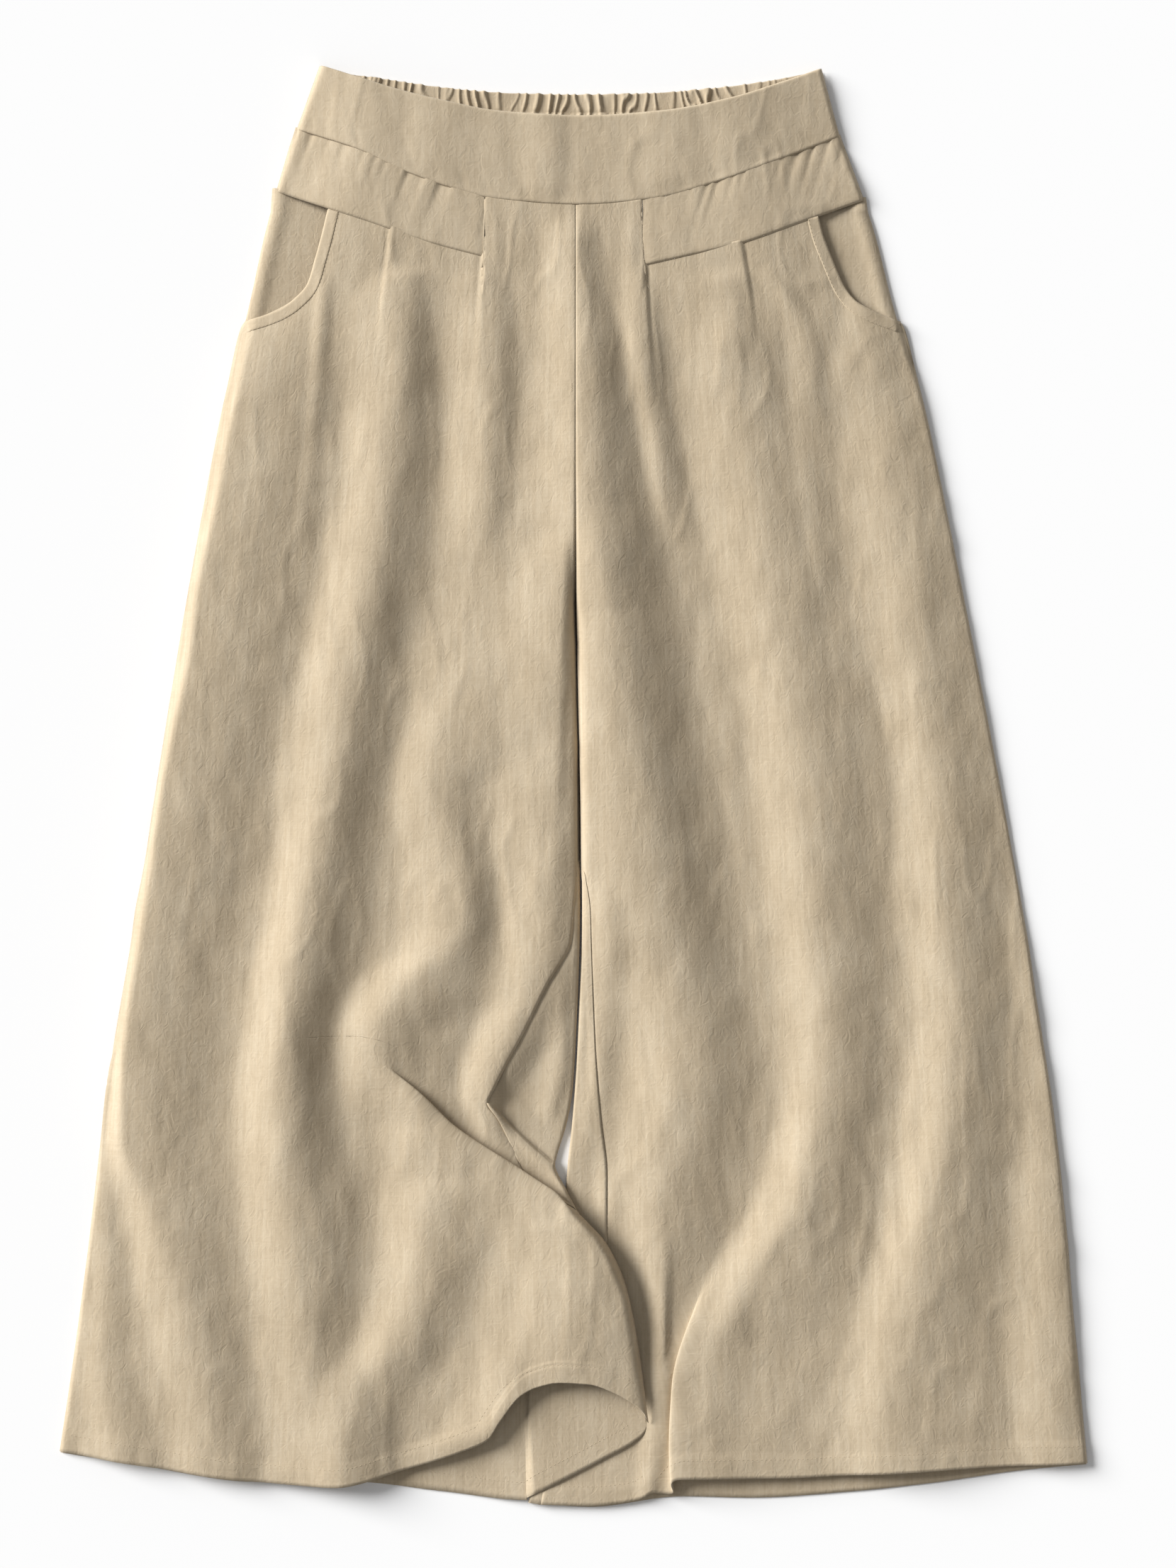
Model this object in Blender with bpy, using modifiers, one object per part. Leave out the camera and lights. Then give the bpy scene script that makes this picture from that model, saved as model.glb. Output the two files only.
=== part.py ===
"""Palazzo pants of washed linen, laid out flat on their back with the front up.

The tables are in millimetres and the model is in metres, +Z up. X runs across the garment,
with the wearer's right leg at negative X. Y runs from the hems up to the waist, and the cloth
lies on z = 0. Every piece is a wall of cloth: the backs lie flat, the fronts lie on them with
air and folds between, and the corner of the right leg is turned over the left leg.
"""
import math

import bpy
import numpy as np

# Sizes of the cloth and of the gaps, in millimetres.
MM = 0.001
CLOTH = 1.2
BAND_CLOTH = 2.0
GAP = 0.3
BACK_MID = CLOTH / 2
FRONT_MID = CLOTH + GAP + CLOTH / 2
STACK = CLOTH + GAP

# The loft that the air under the front gives it.
AIR_EDGE = 0.6
AIR_BODY = 3.0
AIR_WAIST = 5.0
HIP_LIFT = STACK
LEG_OVER_LEG = 4.5

# The folds that lie over themselves: half length of the turn, its rise and its overhang.
TURN = 10.0
TWIST_RISE = 8.0
TWIST_TUCK = 5.0
LAP_RISE = 7.0
LAP_TUCK = 3.2
PLEAT_TUCK = 4.0

# The elastic back waistband.
BAND_DEPTH = 55.0
BAND_LOW = (-190.0, 182.0)
BAND_HIGH = (-171.5, 166.5)
GATHERS = 48
GATHER_STEPS = 4
GATHER_LOW = 2.0
GATHER_RISE = 2.8

# The pockets.
FACING_UNDERLAP = 12.0
BINDING_CLOTH = 1.0
POCKET_ROWS = 7
YOKE_LAP = 2.5

LINEN = (0.53, 0.44, 0.31)

# Outer edges of the laid garment: y, x at the wearer's right side, x at the left side.
SIDE = (
    (487, -172, 167), (436, -190, 181), (379, -208, 202), (321, -221, 217), (264, -236, 235),
    (206, -247, 248), (120, -263, 265), (33, -277, 282), (-53, -291, 298), (-140, -305, 312),
    (-226, -316, 325), (-312, -329, 334), (-399, -340, 341), (-458, -349, 347),
)
# Inner edges of the legs below the crotch: y, x of the right leg, x of the left leg.
INNER = (
    (124, 1.0, 2.0), (52, 3.0, 4.0), (-44, 4.0, 5.2), (-94, 4.5, 6.0), (-140, 3.0, 4.2),
    (-188, 1.0, 2.2), (-215, -1.0, 0.5), (-244, -9.0, -0.5), (-272, -6.0, -2.0),
    (-300, 14.0, -5.0), (-484, 50.0, -25.0),
)
# Edges of the waistbands and yokes: x, y.
FRONT_TOP = ((-172, 487), (-123, 471), (-92, 463), (-49, 455), (4, 452), (57, 455),
             (105, 464), (142, 476), (167, 485))
WAIST_SEAM = ((-187, 444), (-144, 429), (-117, 416), (-78, 402), (-53, 396), (4, 392),
              (53, 396), (98, 408), (141, 424), (179, 439))
BACK_TOP = ((-172, 484), (-139, 480), (-82, 472), (-43, 469), (4, 468), (53, 469),
            (91, 472), (130, 477), (167, 484))
YOKE_EDGE_RIGHT = ((-201, 402), (-167, 390), (-134, 379), (-106, 369), (-62, 357))
YOKE_EDGE_LEFT = ((48, 351), (75, 357), (114, 366), (155, 381), (196, 396))
# The pocket openings: y, x at the right pocket, x at the left pocket.
POCKET = ((390, -166, 164), (373, -170, 168), (355, -175, 175), (339, -180, 182), (328, -190, 190),
          (322, -199, 199), (318, -209, 209), (314, -223, 221))
# The hems: x, y.
HEM_RIGHT_FRONT = ((-348, -450), (-293, -459), (-216, -470), (-163, -473), (-115, -462),
                   (-72, -448), (-58, -441), (-51, -430), (-36, -411), (-24, -405), (-10, -402),
                   (10, -403), (29, -411), (43, -421), (50, -430))
HEM_LEFT_FRONT = ((-18, -486), (11, -486), (34, -484), (46, -481), (53, -477), (60, -478),
                  (75, -467), (139, -467), (187, -465), (283, -460), (347, -458))
HEM_RIGHT_BACK = ((-348, -451), (-293, -460), (-216, -471), (-149, -471), (-91, -477),
                  (-33, -483), (-20, -476), (20, -454), (44, -440), (50, -431))
HEM_LEFT_BACK = ((-25, -484), (11, -487), (73, -480), (120, -481), (187, -477), (245, -471),
                 (302, -463), (347, -459))
# The upper edge of the turned corner, from the knee fold to the flap: x, y.
TWIST = ((-316, -200), (-197, -184), (-149, -184), (-130, -188), (-82, -230), (-33, -262),
         (3, -288))
# Where the left front laps over its own inner part, and where the right back is pleated.
LAP_LINE = ((357, 47), (250, 60), (124, 80), (0, 100), (-140, 112), (-230, 116), (-284, 108),
            (-332, 91), (-370, 77), (-408, 67), (-447, 65), (-484, 67))
PLEAT_LINE = ((-250, -12), (-290, -14), (-340, -20), (-400, -30), (-484, -32))
# The free edge of the turned corner: y, x.
FLAP_EDGE = ((-288, 3), (-308, 21), (-332, 33), (-346, 38), (-391, 45), (-430, 50), (-484, 50))

# The folds of the front, each a ridge: a row has the y and the x of its crest, its height, and
# how far it runs down on the side of negative x and of positive x.
RIGHT_FOLDS = {
    "side_roll": (
        (302, -210, 0, 14, 14), (244, -213, 3, 24, 43), (148, -230, 4, 26, 48),
        (52, -249, 4, 26, 48), (-44, -263, 3.5, 26, 31), (-140, -281, 4, 24, 44),
        (-236, -288, 4.5, 24, 50), (-332, -264, 5, 33, 39), (-428, -245, 4.5, 32, 33),
        (-475, -241, 4, 32, 34)),
    "thigh": (
        (345, -143, 2, 24, 14), (292, -120, 4.5, 31, 32), (244, -122, 5, 45, 33),
        (148, -135, 6, 46, 39), (52, -155, 7, 44, 47), (-44, -171, 8, 41, 43),
        (-140, -190, 8.5, 46, 41), (-188, -195, 8, 46, 37), (-236, -193, 7, 49, 48),
        (-332, -181, 6.5, 43, 41), (-380, -183, 6, 34, 34), (-428, -170, 5, 41, 46),
        (-475, -164, 4, 41, 46)),
    "knee": (
        (340, -58, 1, 14, 19), (292, -57, 4, 29, 25), (196, -62, 5, 30, 26),
        (100, -78, 5, 26, 29), (52, -90, 6, 24, 34), (14, -96, 7.5, 27, 38),
        (-20, -95, 8, 34, 36), (-68, -82, 9, 46, 32), (-101, -82, 9, 47, 31),
        (-140, -106, 8.5, 46, 40), (-168, -122, 7.5, 38, 44), (-197, -126, 4, 34, 43),
        (-221, -122, 0, 34, 38)),
    "inseam": (
        (177, -10, 0, 29, 10), (148, -12, 3, 30, 12), (52, -16, 5, 43, 17),
        (-44, -17, 6, 36, 20), (-92, -18, 6.5, 33, 22), (-140, -28, 7, 38, 23),
        (-188, -51, 7.5, 31, 23), (-209, -57, 5, 24, 17), (-236, -53, 2, 19, 14),
        (-260, -41, 0, 19, 14)),
    "hem_edge": (
        (-236, -316, 0, 10, 19), (-284, -317, 2, 10, 19), (-380, -317, 2.5, 19, 24),
        (-461, -307, 3, 29, 34)),
    "shin": (
        (-240, -93, 0, 34, 38), (-284, -101, 5, 38, 41), (-332, -102, 6, 38, 41),
        (-370, -114, 6, 38, 43), (-408, -139, 4.5, 43, 48), (-456, -155, 3, 29, 38)),
    "flap": (
        (-279, -10, 0, 43, 24), (-312, -17, 4, 41, 29), (-341, -22, 6, 41, 36),
        (-380, -19, 8, 58, 58), (-404, -14, 10, 58, 58)),
    "flap_side": (
        (-303, 1, 0, 14, 12), (-332, 20, 2.5, 22, 14), (-360, 25, 2.5, 19, 14),
        (-389, 28, 0, 19, 14)),
    "turned": (
        (-380, -53, 0, 29, 19), (-408, -47, 4, 34, 17), (-432, -56, 5, 38, 14),
        (-447, -77, 3, 38, 29), (-466, -101, 0, 29, 29)),
}
CENTRE_FOLDS = {
    "centre": (
        (384, 0, 2, 19, 19), (340, 1, 4, 23, 24), (292, 1, 4.5, 33, 29), (244, 2, 5, 37, 36),
        (196, 6, 5, 41, 38), (158, 12, 2, 29, 38), (134, 19, 0, 19, 29)),
}
LEFT_FOLDS = {
    "front_long": (
        (225, 7, 0, 24, 34), (196, 13, 3, 29, 35), (148, 27, 6.5, 21, 54),
        (52, 40, 8.5, 30, 53), (4, 46, 9, 37, 53), (-44, 58, 9.5, 37, 49),
        (-140, 74, 9.5, 34, 47), (-188, 76, 9, 41, 51), (-236, 68, 8, 35, 58),
        (-284, 60, 7.5, 30, 45), (-332, 60, 7.5, 17, 25), (-370, 63, 7, 12, 12),
        (-404, 59, 5, 9, 6.5), (-442, 56, 4, 8, 6.5), (-484, 54, 3, 8, 7)),
    "middle": (
        (316, 101, 2, 34, 19), (292, 106, 3, 37, 38), (244, 114, 4, 36, 29),
        (148, 133, 5, 50, 29), (100, 145, 5.5, 60, 49), (4, 157, 6, 59, 48),
        (-92, 167, 6.5, 53, 46), (-188, 172, 6.5, 45, 46), (-236, 167, 6.5, 38, 43),
        (-284, 155, 7, 45, 46), (-332, 136, 7, 42, 52), (-380, 121, 7, 42, 59),
        (-447, 108, 6, 36, 62), (-480, 107, 5, 34, 66)),
    "pleat_inner": (
        (321, 47, 1, 19, 20), (292, 47, 3, 16, 22), (244, 56, 3.5, 18, 22),
        (196, 64, 3, 17, 30), (163, 71, 0, 17, 29)),
    "pleat_outer": (
        (345, 132, 2, 12, 15), (316, 149, 3, 22, 12), (283, 164, 3, 22, 11),
        (244, 157, 3, 14, 22), (148, 166, 2.5, 12, 22), (115, 172, 0, 12, 22)),
    "outer": (
        (340, 198, 2, 12, 10), (292, 200, 3, 24, 22), (244, 212, 4, 33, 29),
        (148, 226, 4.5, 38, 40), (52, 236, 5, 37, 43), (-44, 248, 5, 40, 46),
        (-140, 259, 5, 45, 46), (-236, 256, 5, 46, 48), (-332, 238, 6, 49, 51),
        (-380, 229, 6, 50, 61), (-413, 228, 5.5, 66, 61), (-465, 235, 4, 66, 59)),
    "outer_hem": (
        (-250, 313, 0, 19, 14), (-284, 317, 3, 24, 14), (-380, 322, 3.5, 32, 16),
        (-462, 328, 3, 33, 14)),
    "inner_left": (
        (-63, 19, 0, 12, 14), (-92, 23, 2, 14, 15), (-140, 24, 2, 15, 17),
        (-188, 18, 1.5, 13, 18), (-236, 11, 1, 12, 20), (-274, 11, 0, 12, 20)),
}

# Rows of the right front, from the yoke to the hem: the row's end at the side, its end at the
# front seam or inseam (below the twist, at the line where the corner begins), how much of the
# yoke's, the twist's and the hem's line it follows, how far it is along the turn of the twist,
# and the number of mesh rows to the next one.
RIGHT_FRONT_ROWS = (
    (-165, 392.5, 1.0, 391.7, 1.0, 0, 0, -10, 1), (-170, 373, 1.0, 377, 0.72, 0, 0, -10, 1),
    (-175, 355, 1.0, 364, 0.5, 0, 0, -10, 1), (-180, 339, 1.0, 351, 0.33, 0, 0, -10, 1),
    (-190, 328, 1.0, 340, 0.2, 0, 0, -10, 1), (-209, 318, 1.0, 331, 0.1, 0, 0, -10, 1),
    (-223, 313.5, 1.0, 325, 0.04, 0, 0, -10, 1), (-236, 264, 0.6, 270, 0, 0, 0, -10, 3),
    (-263, 120, 1.0, 124, 0, 0, 0, -10, 3), (-284, -10, 3.6, -10, 0, 0, 0, -10, 1),
    (-290, -50, 3.8, -50, 0, 0.02, 0, -10, 1), (-297, -85, 0.4, -80, 0, 0.05, 0, -10, 1),
    (-300, -108, -1.6, -104, 0, 0.1, 0, -10, 1), (-304, -132, -18, -134, 0, 0.18, 0, -10, 1),
    (-308, -155, -33, -165, 0, 0.33, 0, -10, 1), (-311, -172, -46, -189, 0, 0.5, 0, -10, 1),
    (-312, -179, -53, -203, 0, 0.65, 0, -10, 1), (-313, -184, -58, -215, 0, 0.78, 0, -10, 1),
    (-314, -188, -49, -227, 0, 0.9, 0, -10, 1), (-315, -193, -40.3, -244.9, 0, 1, 0, -10, 1),
    (-315.5, -196.5, -30, -256.7, 0, 1, 0, -6, 1), (-316, -199, -28.4, -261.4, 0, 1, 0, -3, 1),
    (-316, -201, -31.5, -262.9, 0, 1, 0, 0, 1), (-316.5, -203, -33.2, -265.4, 0, 1, 0, 3, 1),
    (-317, -206, -32.6, -268.5, 0, 1, 0, 6, 1), (-317.5, -210, -29, -273, 0, 1, 0, 10, 1),
    (-321, -245, -26, -297, 0, 0.75, 0.05, 10, 1), (-326, -290, -22, -328, 0, 0.45, 0.2, 10, 2),
    (-337, -375, -15, -380, 0, 0.1, 0.7, 10, 2), (-348, -450, -10, -402, 0, 0, 1, 10, 0),
)
RIGHT_FRONT_COLUMNS = ((0.0, 1), (0.048, 9), (0.62, 1), (0.655, 9), (0.97, 1), (1.0, 0))
# The column that stays at the yoke's inner end, as its share of the row and its x there.
STEP_SHARE = 0.62
STEP_X = -62.3
# The turned corner beyond that line: y where a row leaves the line, and the row's end at the
# free edge.
CORNER_ROWS = (
    (-262.9, 3, -288), (-265.4, 3.5, -289), (-268.5, 5, -290.5), (-273, 8.5, -294),
    (-297, 21, -308), (-328, 33, -332), (-354, 38.8, -354), (-380, 43.5, -380),
    (-391, 47, -406), (-402, 50, -430),
)
CORNER_COLUMNS = 5

# Rows of the left front: its end at the front seam or inseam, its end at the side, how much of
# the yoke's and the hem's line it follows, and the number of mesh rows to the next one.
LEFT_FRONT_ROWS = (
    (1.4, 391.7, 163, 386.5, 1.0, 0, 1), (1.4, 377, 168, 373, 0.72, 0, 1),
    (1.4, 364, 175, 355, 0.5, 0, 1), (1.4, 351, 182, 339, 0.33, 0, 1),
    (1.4, 340, 190, 328, 0.2, 0, 1), (1.4, 331, 209, 318, 0.1, 0, 1),
    (1.4, 325, 221, 313.5, 0.04, 0, 1), (1.4, 270, 235, 264, 0, 0, 3),
    (2.4, 124, 265, 120, 0, 0, 3), (5.6, -10, 290, -10, 0, 0, 2), (6.2, -60, 299, -60, 0, 0, 1),
    (9.2, -82, 303, -82, 0, 0, 1), (10.2, -105, 307, -105, 0, 0, 1), (11.4, -140, 312, -140, 0, 0, 1),
    (13.5, -185, 319, -185, 0, 0, 1), (17, -226, 325, -226, 0, 0, 1),
    (21, -264, 330, -270, 0, 0.05, 1), (21, -305, 334, -310, 0, 0.1, 1),
    (15, -350, 337, -350, 0, 0.25, 1), (5, -395, 341, -390, 0, 0.55, 1),
    (-7, -440, 344, -425, 0, 0.85, 1), (-18, -486, 347, -458, 0, 1.0, 0),
)
LEFT_FRONT_COLUMNS_IN = 8
LEFT_FRONT_COLUMNS_OUT = 17
LAP_PHASES = (-10.0, -6.0, -2.0, 2.0, 6.0, 10.0)

# Rows of the right back: y at the side, the inner edge, the seam that is wrapped over the inner
# edge, how far it is wrapped (0 to 1), how deep it dips under the turn, and the mesh rows.
RIGHT_BACK_ROWS = (
    (430, 1.0, 412, -4, 412, 0, 0, 2), (264, 0.8, 264, -4, 264, 0, 0, 3),
    (120, 0.6, 124, -4, 124, 0, 0, 3), (-10, 3.6, -10, -2, -10, 0, 0, 1),
    (-50, 4.0, -50, -1.5, -50, 0, 0, 1), (-85, 4.2, -80, -1.2, -80, 0.5, 0, 1),
    (-108, 3.9, -104, -1.3, -104, 1, 0, 1), (-132, 3.0, -134, -17.7, -134, 1, 0, 1),
    (-155, 1.6, -163, -32.7, -165, 1, 0.3, 1), (-172, 0.4, -186, -45.7, -189, 1, 0.8, 1),
    (-184, -1.0, -206, -52.7, -203, 1, 1.0, 1), (-200, -5.0, -228, -57.6, -214.7, 1, 1.0, 1),
    (-215, -10.5, -246, -54.5, -218.5, 1, 0.9, 1), (-225, -13.0, -254, -51.6, -222.2, 1, 0.6, 1),
    (-235, -12.6, -258, -48.7, -227, 1, 0.25, 1), (-245, -11.5, -262, -44.3, -236, 1, 0, 1),
    (-253, -9.0, -267, -40, -244.8, 1, 0, 1), (-263, -6.0, -273, -32.3, -260.5, 1, 0, 1),
    (-276, -2.0, -280, -22, -273, 1, 0, 1), (-285, 3.5, -289, -1.5, -289, 0.5, 0, 1),
    (-295, 9.5, -296, 4.5, -296, 0, 0, 1),
    (-330, 31, -330, 26, -330, 0, 0, 2),
    (-400, 45, -400, 40, -400, 0, 0, 1), (-430, 49, -425, 44, -425, 0, 0, 1),
    (-451, 50, -431, 45, -431, 0, 0, 0),
)
RIGHT_BACK_FLOOR_COLUMNS = 9
RIGHT_BACK_INNER_COLUMNS = 2
PLEAT_PHASES = (-10.0, -5.0, 0.0, 5.0, 10.0)
WRAP_ARC_COLUMNS = 4
WRAP_FLAT_COLUMNS = 3
WRAP_ROUND_RIGHT = 2.4
CORNER_BELOW = -285.0
WRAP_ROUND_LEFT = 1.6

# Rows of the left back: y at the side, the inner edge, the inseam, how far it is wrapped, and
# the mesh rows.
LEFT_BACK_ROWS = (
    (430, 1.6, 412, 6, 412, 0, 2), (264, 1.6, 264, 6, 264, 0, 3),
    (120, 2.6, 124, 7, 124, 0, 3), (-10, 5.6, -10, 10, -10, 0, 2),
    (-60, 6.2, -60, 10, -60, 0, 1), (-82, 6.2, -82, 9.9, -82, 0.5, 1),
    (-105, 5.8, -105, 9.9, -105, 1, 1), (-140, 4.2, -140, 11.1, -140, 1, 1),
    (-185, 2.2, -185, 13.2, -185, 1, 1), (-226, 0.4, -226, 16.7, -226, 1, 1),
    (-264, -1.5, -264, 20.7, -264, 1, 1), (-305, -5, -305, 20.7, -305, 1, 1),
    (-350, -10, -350, 14.7, -350, 1, 1), (-395, -15, -395, 4.7, -395, 1, 1),
    (-435, -20, -440, -7.3, -440, 1, 1), (-459, -25, -485, -18.3, -486, 1, 0),
)
LEFT_BACK_FLOOR_COLUMNS = 8


def smooth(share):
    """An even ease from 0 to 1."""
    share = np.clip(share, 0.0, 1.0)
    return share * share * (3.0 - 2.0 * share)


def through(knots, values, at):
    """A smooth curve through the rows of a table, read at the places given."""
    knots = np.asarray(knots, float)
    values = np.asarray(values, float)
    if knots[0] > knots[-1]:
        knots, values = knots[::-1], values[::-1]
    slopes = np.gradient(values, knots)
    at = np.clip(at, knots[0], knots[-1])
    row = np.clip(np.searchsorted(knots, at) - 1, 0, len(knots) - 2)
    span = knots[row + 1] - knots[row]
    t = (at - knots[row]) / span
    start = (1 + 2 * t) * (1 - t) ** 2 * values[row] + t * (1 - t) ** 2 * span * slopes[row]
    end = t * t * (3 - 2 * t) * values[row + 1] + t * t * (t - 1) * span * slopes[row + 1]
    return start + end


def column(table, index, at):
    """Column `index` of a table whose first column is the place along it."""
    rows = np.asarray(table, float)
    return through(rows[:, 0], rows[:, index], at)


def ridge(stations, x, y):
    """Height of one fold above the cloth round it, a rounded ridge along its crest."""
    away = x - column(stations, 1, y)
    height = np.maximum(column(stations, 2, y), 0.0)
    run = np.where(away < 0, column(stations, 3, y), column(stations, 4, y))
    return height * np.cos(np.clip(away / run, -1.0, 1.0) * math.pi / 2) ** 2


def folds(tables, x, y):
    """Height of all the folds of one leg together."""
    return sum(ridge(stations, x, y) for table in tables for stations in table.values())


def yoke_seam(x, y_open):
    """The upper edge of the leg fronts: under the yokes, and at the waistband between them."""
    right = through(*zip(*YOKE_EDGE_RIGHT), x)
    left = through(*zip(*YOKE_EDGE_LEFT), x)
    seam = np.where(x < -61, right, np.where(x > 46.5, left, through(*zip(*WAIST_SEAM), x)))
    return seam + np.where((x < -61) | (x > 46.5), y_open, -GAP)


def fold_ease(x, y):
    """The folds begin below the yokes, and stay clear of the yokes' inner ends."""
    below = smooth((yoke_seam(x, 0.0) - y) / 25)
    beside = smooth((52.5 - np.abs(x + 7.0)) / 9)
    between = smooth((y - 340) / 15)
    return below * (1 - between * (1 - beside))


def band_edge(x):
    """The lower edge of the gathered back waistband."""
    share = (x - BAND_LOW[0]) / (BAND_LOW[1] - BAND_LOW[0])
    top_x = BAND_HIGH[0] + (BAND_HIGH[1] - BAND_HIGH[0]) * share
    return through(*zip(*BACK_TOP), top_x) - BAND_DEPTH


def bed(x, y):
    """Middle of the front's cloth where no fold lifts it, above the table."""
    gap = np.minimum(x - column(SIDE, 1, y), column(SIDE, 2, y) - x)
    hips = HIP_LIFT * smooth((y - 240) / 70)
    air = AIR_BODY + AIR_WAIST * smooth((y - 180) / 200)
    return FRONT_MID + hips + air * smooth(gap / 60)


def inner_ease(x, y, leg):
    """How far the air stays under the front beside the inner edge of a leg."""
    gap = np.abs(x - column(INNER, leg, y))
    near = 1 - smooth(gap / 16)
    return 1 - 0.8 * near * smooth((130 - y) / 40)


def climb(x, y):
    """Lift of the right leg where its turned corner lies on the left leg."""
    start = column(PLEAT_LINE, 1, y)
    return LEG_OVER_LEG * smooth((x - start + TURN) / (2 * TURN)) * smooth((-258 - y) / 20)


def overhang(phase, reach):
    """Shift of a fold that lies over itself, at its phase from -TURN to TURN."""
    return -reach * np.sin(np.pi * np.clip(phase / TURN, -1.0, 1.0))


def turned_share(phase):
    return smooth(phase / (2 * TURN) + 0.5)


def right_height(x, y):
    """Middle of the right front, apart from the turn of the twist."""
    seam = fold_ease(x, y)
    ease = np.where(y > -110, inner_ease(x, y, 1), 1.0)
    open_air = 1 - (1 - ease) * smooth((y + 130) / 30)
    air = (bed(x, y) - FRONT_MID) * open_air
    return FRONT_MID + air + seam * folds((RIGHT_FOLDS, CENTRE_FOLDS), x, y)


def left_height(x, y):
    """Middle of the left front, apart from its lap."""
    seam = fold_ease(x, y)
    covered = smooth((-235 - y) / 40) * smooth((column(FLAP_EDGE, 1, y) + 14 - x) / 12)
    air = (bed(x, y) - FRONT_MID) * inner_ease(x, y, 2)
    lift = air + seam * folds((LEFT_FOLDS, CENTRE_FOLDS), x, y)
    return FRONT_MID + lift * (1 - covered) + AIR_EDGE * covered


def bend(curve, x, start, end):
    """How far a curve departs from the straight line between two of its places."""
    share = (x - start) / (end - start)
    ends = (through(*zip(*curve), start), through(*zip(*curve), end))
    return through(*zip(*curve), x) - ends[0] * (1 - share) - ends[1] * share


def mesh_rows(table):
    """The rows of a table with the mesh rows between them, the last column left out."""
    rows = np.asarray(table, float)
    counts = rows[:, -1].astype(int)
    places = [i + j / counts[i] for i in range(len(rows) - 1) for j in range(counts[i])]
    places.append(len(rows) - 1.0)
    index = np.arange(len(rows))
    return np.array([through(index, rows[:, c], np.array(places))
                     for c in range(rows.shape[1] - 1)]).T


def mesh_columns(table):
    """Shares along a row, from a table of a share and the number of columns to the next."""
    shares = [start + (end - start) * j / count
              for (start, count), (end, _) in zip(table, table[1:]) for j in range(count)]
    return np.array(shares + [table[-1][0]])


def right_front_row(row):
    """The points of one row of the right front before its turn, out to the free edge."""
    side_x, side_y, seam_x, seam_y, top, twist, hem, phase = row
    shares = mesh_columns(RIGHT_FRONT_COLUMNS)
    step_x = side_x + (seam_x - side_x) * STEP_SHARE
    step_x = step_x + (STEP_X - step_x) * smooth((seam_y - 180) / 140)
    x = np.interp(shares, (0.0, STEP_SHARE, 1.0), (side_x, step_x, seam_x))
    y = side_y + (seam_y - side_y) * shares
    yoke = np.interp(x, (-166, -134, -106, -62), (392.5, 381.5, 371.5, 359.5))
    seam = np.where(x < -61, yoke, through(*zip(*WAIST_SEAM), x) - GAP)
    y = y + top * (seam - (392.5 + (391.7 - 392.5) * shares))
    y = y + twist * bend(TWIST, x, side_x, seam_x) + hem * bend(HEM_RIGHT_FRONT, x, side_x, seam_x)
    if phase < 0:
        blank = np.full(CORNER_COLUMNS, np.nan)
        return np.concatenate((x, blank)), np.concatenate((y, blank))
    shares = np.arange(1, CORNER_COLUMNS + 1) / CORNER_COLUMNS
    end_x = column(CORNER_ROWS, 1, seam_y)
    end_y = column(CORNER_ROWS, 2, seam_y)
    corner_x = seam_x + (end_x - seam_x) * shares
    corner_y = seam_y + (end_y - seam_y) * shares
    corner_y = corner_y + hem * bend(HEM_RIGHT_FRONT, corner_x, seam_x, end_x)
    return np.concatenate((x, corner_x)), np.concatenate((y, corner_y))


def right_front_grid():
    grid = []
    for row in mesh_rows(RIGHT_FRONT_ROWS):
        phase = row[-1]
        x, y = right_front_row(row)
        grows = smooth((x + 138) / 40)
        twist_y = through(*zip(*TWIST), x)
        slope = (through(*zip(*TWIST), x + 0.5) - twist_y) / 0.5
        shift = overhang(phase, TWIST_TUCK) * grows * smooth((4 - x) / 14)
        size = np.hypot(slope, 1.0)
        below = np.maximum(twist_y - y, 0.0)
        rise = TWIST_RISE * grows * turned_share(phase) * (1 - smooth(below / 150))
        height = right_height(x, y) - FRONT_MID + rise
        if phase >= 0:
            height = height * round_edge(column(FLAP_EDGE, 1, y) - x)
        z = FRONT_MID + height + climb(x, y)
        grid.append(np.stack((x + shift * slope / size, y - shift / size, z), axis=1))
    return np.array(grid)


def round_edge(gap):
    """How far a free edge of cloth curls down, by the distance from the edge."""
    return np.sqrt(1 - (1 - np.clip(gap / 14, 0.02, 1.0)) ** 2)


def left_front_grid():
    grid = []
    phases = np.array(LAP_PHASES)
    for seam_x, seam_y, side_x, side_y, top, hem in mesh_rows(LEFT_FRONT_ROWS):
        line_y = (seam_y + side_y) / 2
        line = column(LAP_LINE, 1, line_y)
        inner = np.linspace(seam_x, line - TURN, LEFT_FRONT_COLUMNS_IN + 1)[:-1]
        outer = np.linspace(line + TURN, side_x, LEFT_FRONT_COLUMNS_OUT + 1)[1:]
        x = np.concatenate((inner, line + phases, outer))
        phase = np.concatenate((inner * 0 - TURN, phases, outer * 0 + TURN))
        share = (x - seam_x) / (side_x - seam_x)
        y = seam_y + (side_y - seam_y) * share
        yoke = np.interp(x, (48, 75, 114, 163), (353.5, 359.5, 368.5, 386.5))
        seam = np.where(x > 46.5, yoke, through(*zip(*WAIST_SEAM), x) - GAP)
        y = y + top * (seam - (391.7 + (386.5 - 391.7) * share))
        y = y + hem * bend(HEM_LEFT_FRONT, x, seam_x, side_x)
        lapped = smooth((-325 - line_y) / 50)
        past = np.maximum(x - line, 0.0)
        rise = LAP_RISE * lapped * turned_share(phase) * (1 - smooth(past / 55))
        x_out = x + overhang(phase, LAP_TUCK) * lapped
        grid.append(np.stack((x_out, y, left_height(x, y) + rise), axis=1))
    return np.array(grid)


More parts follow.
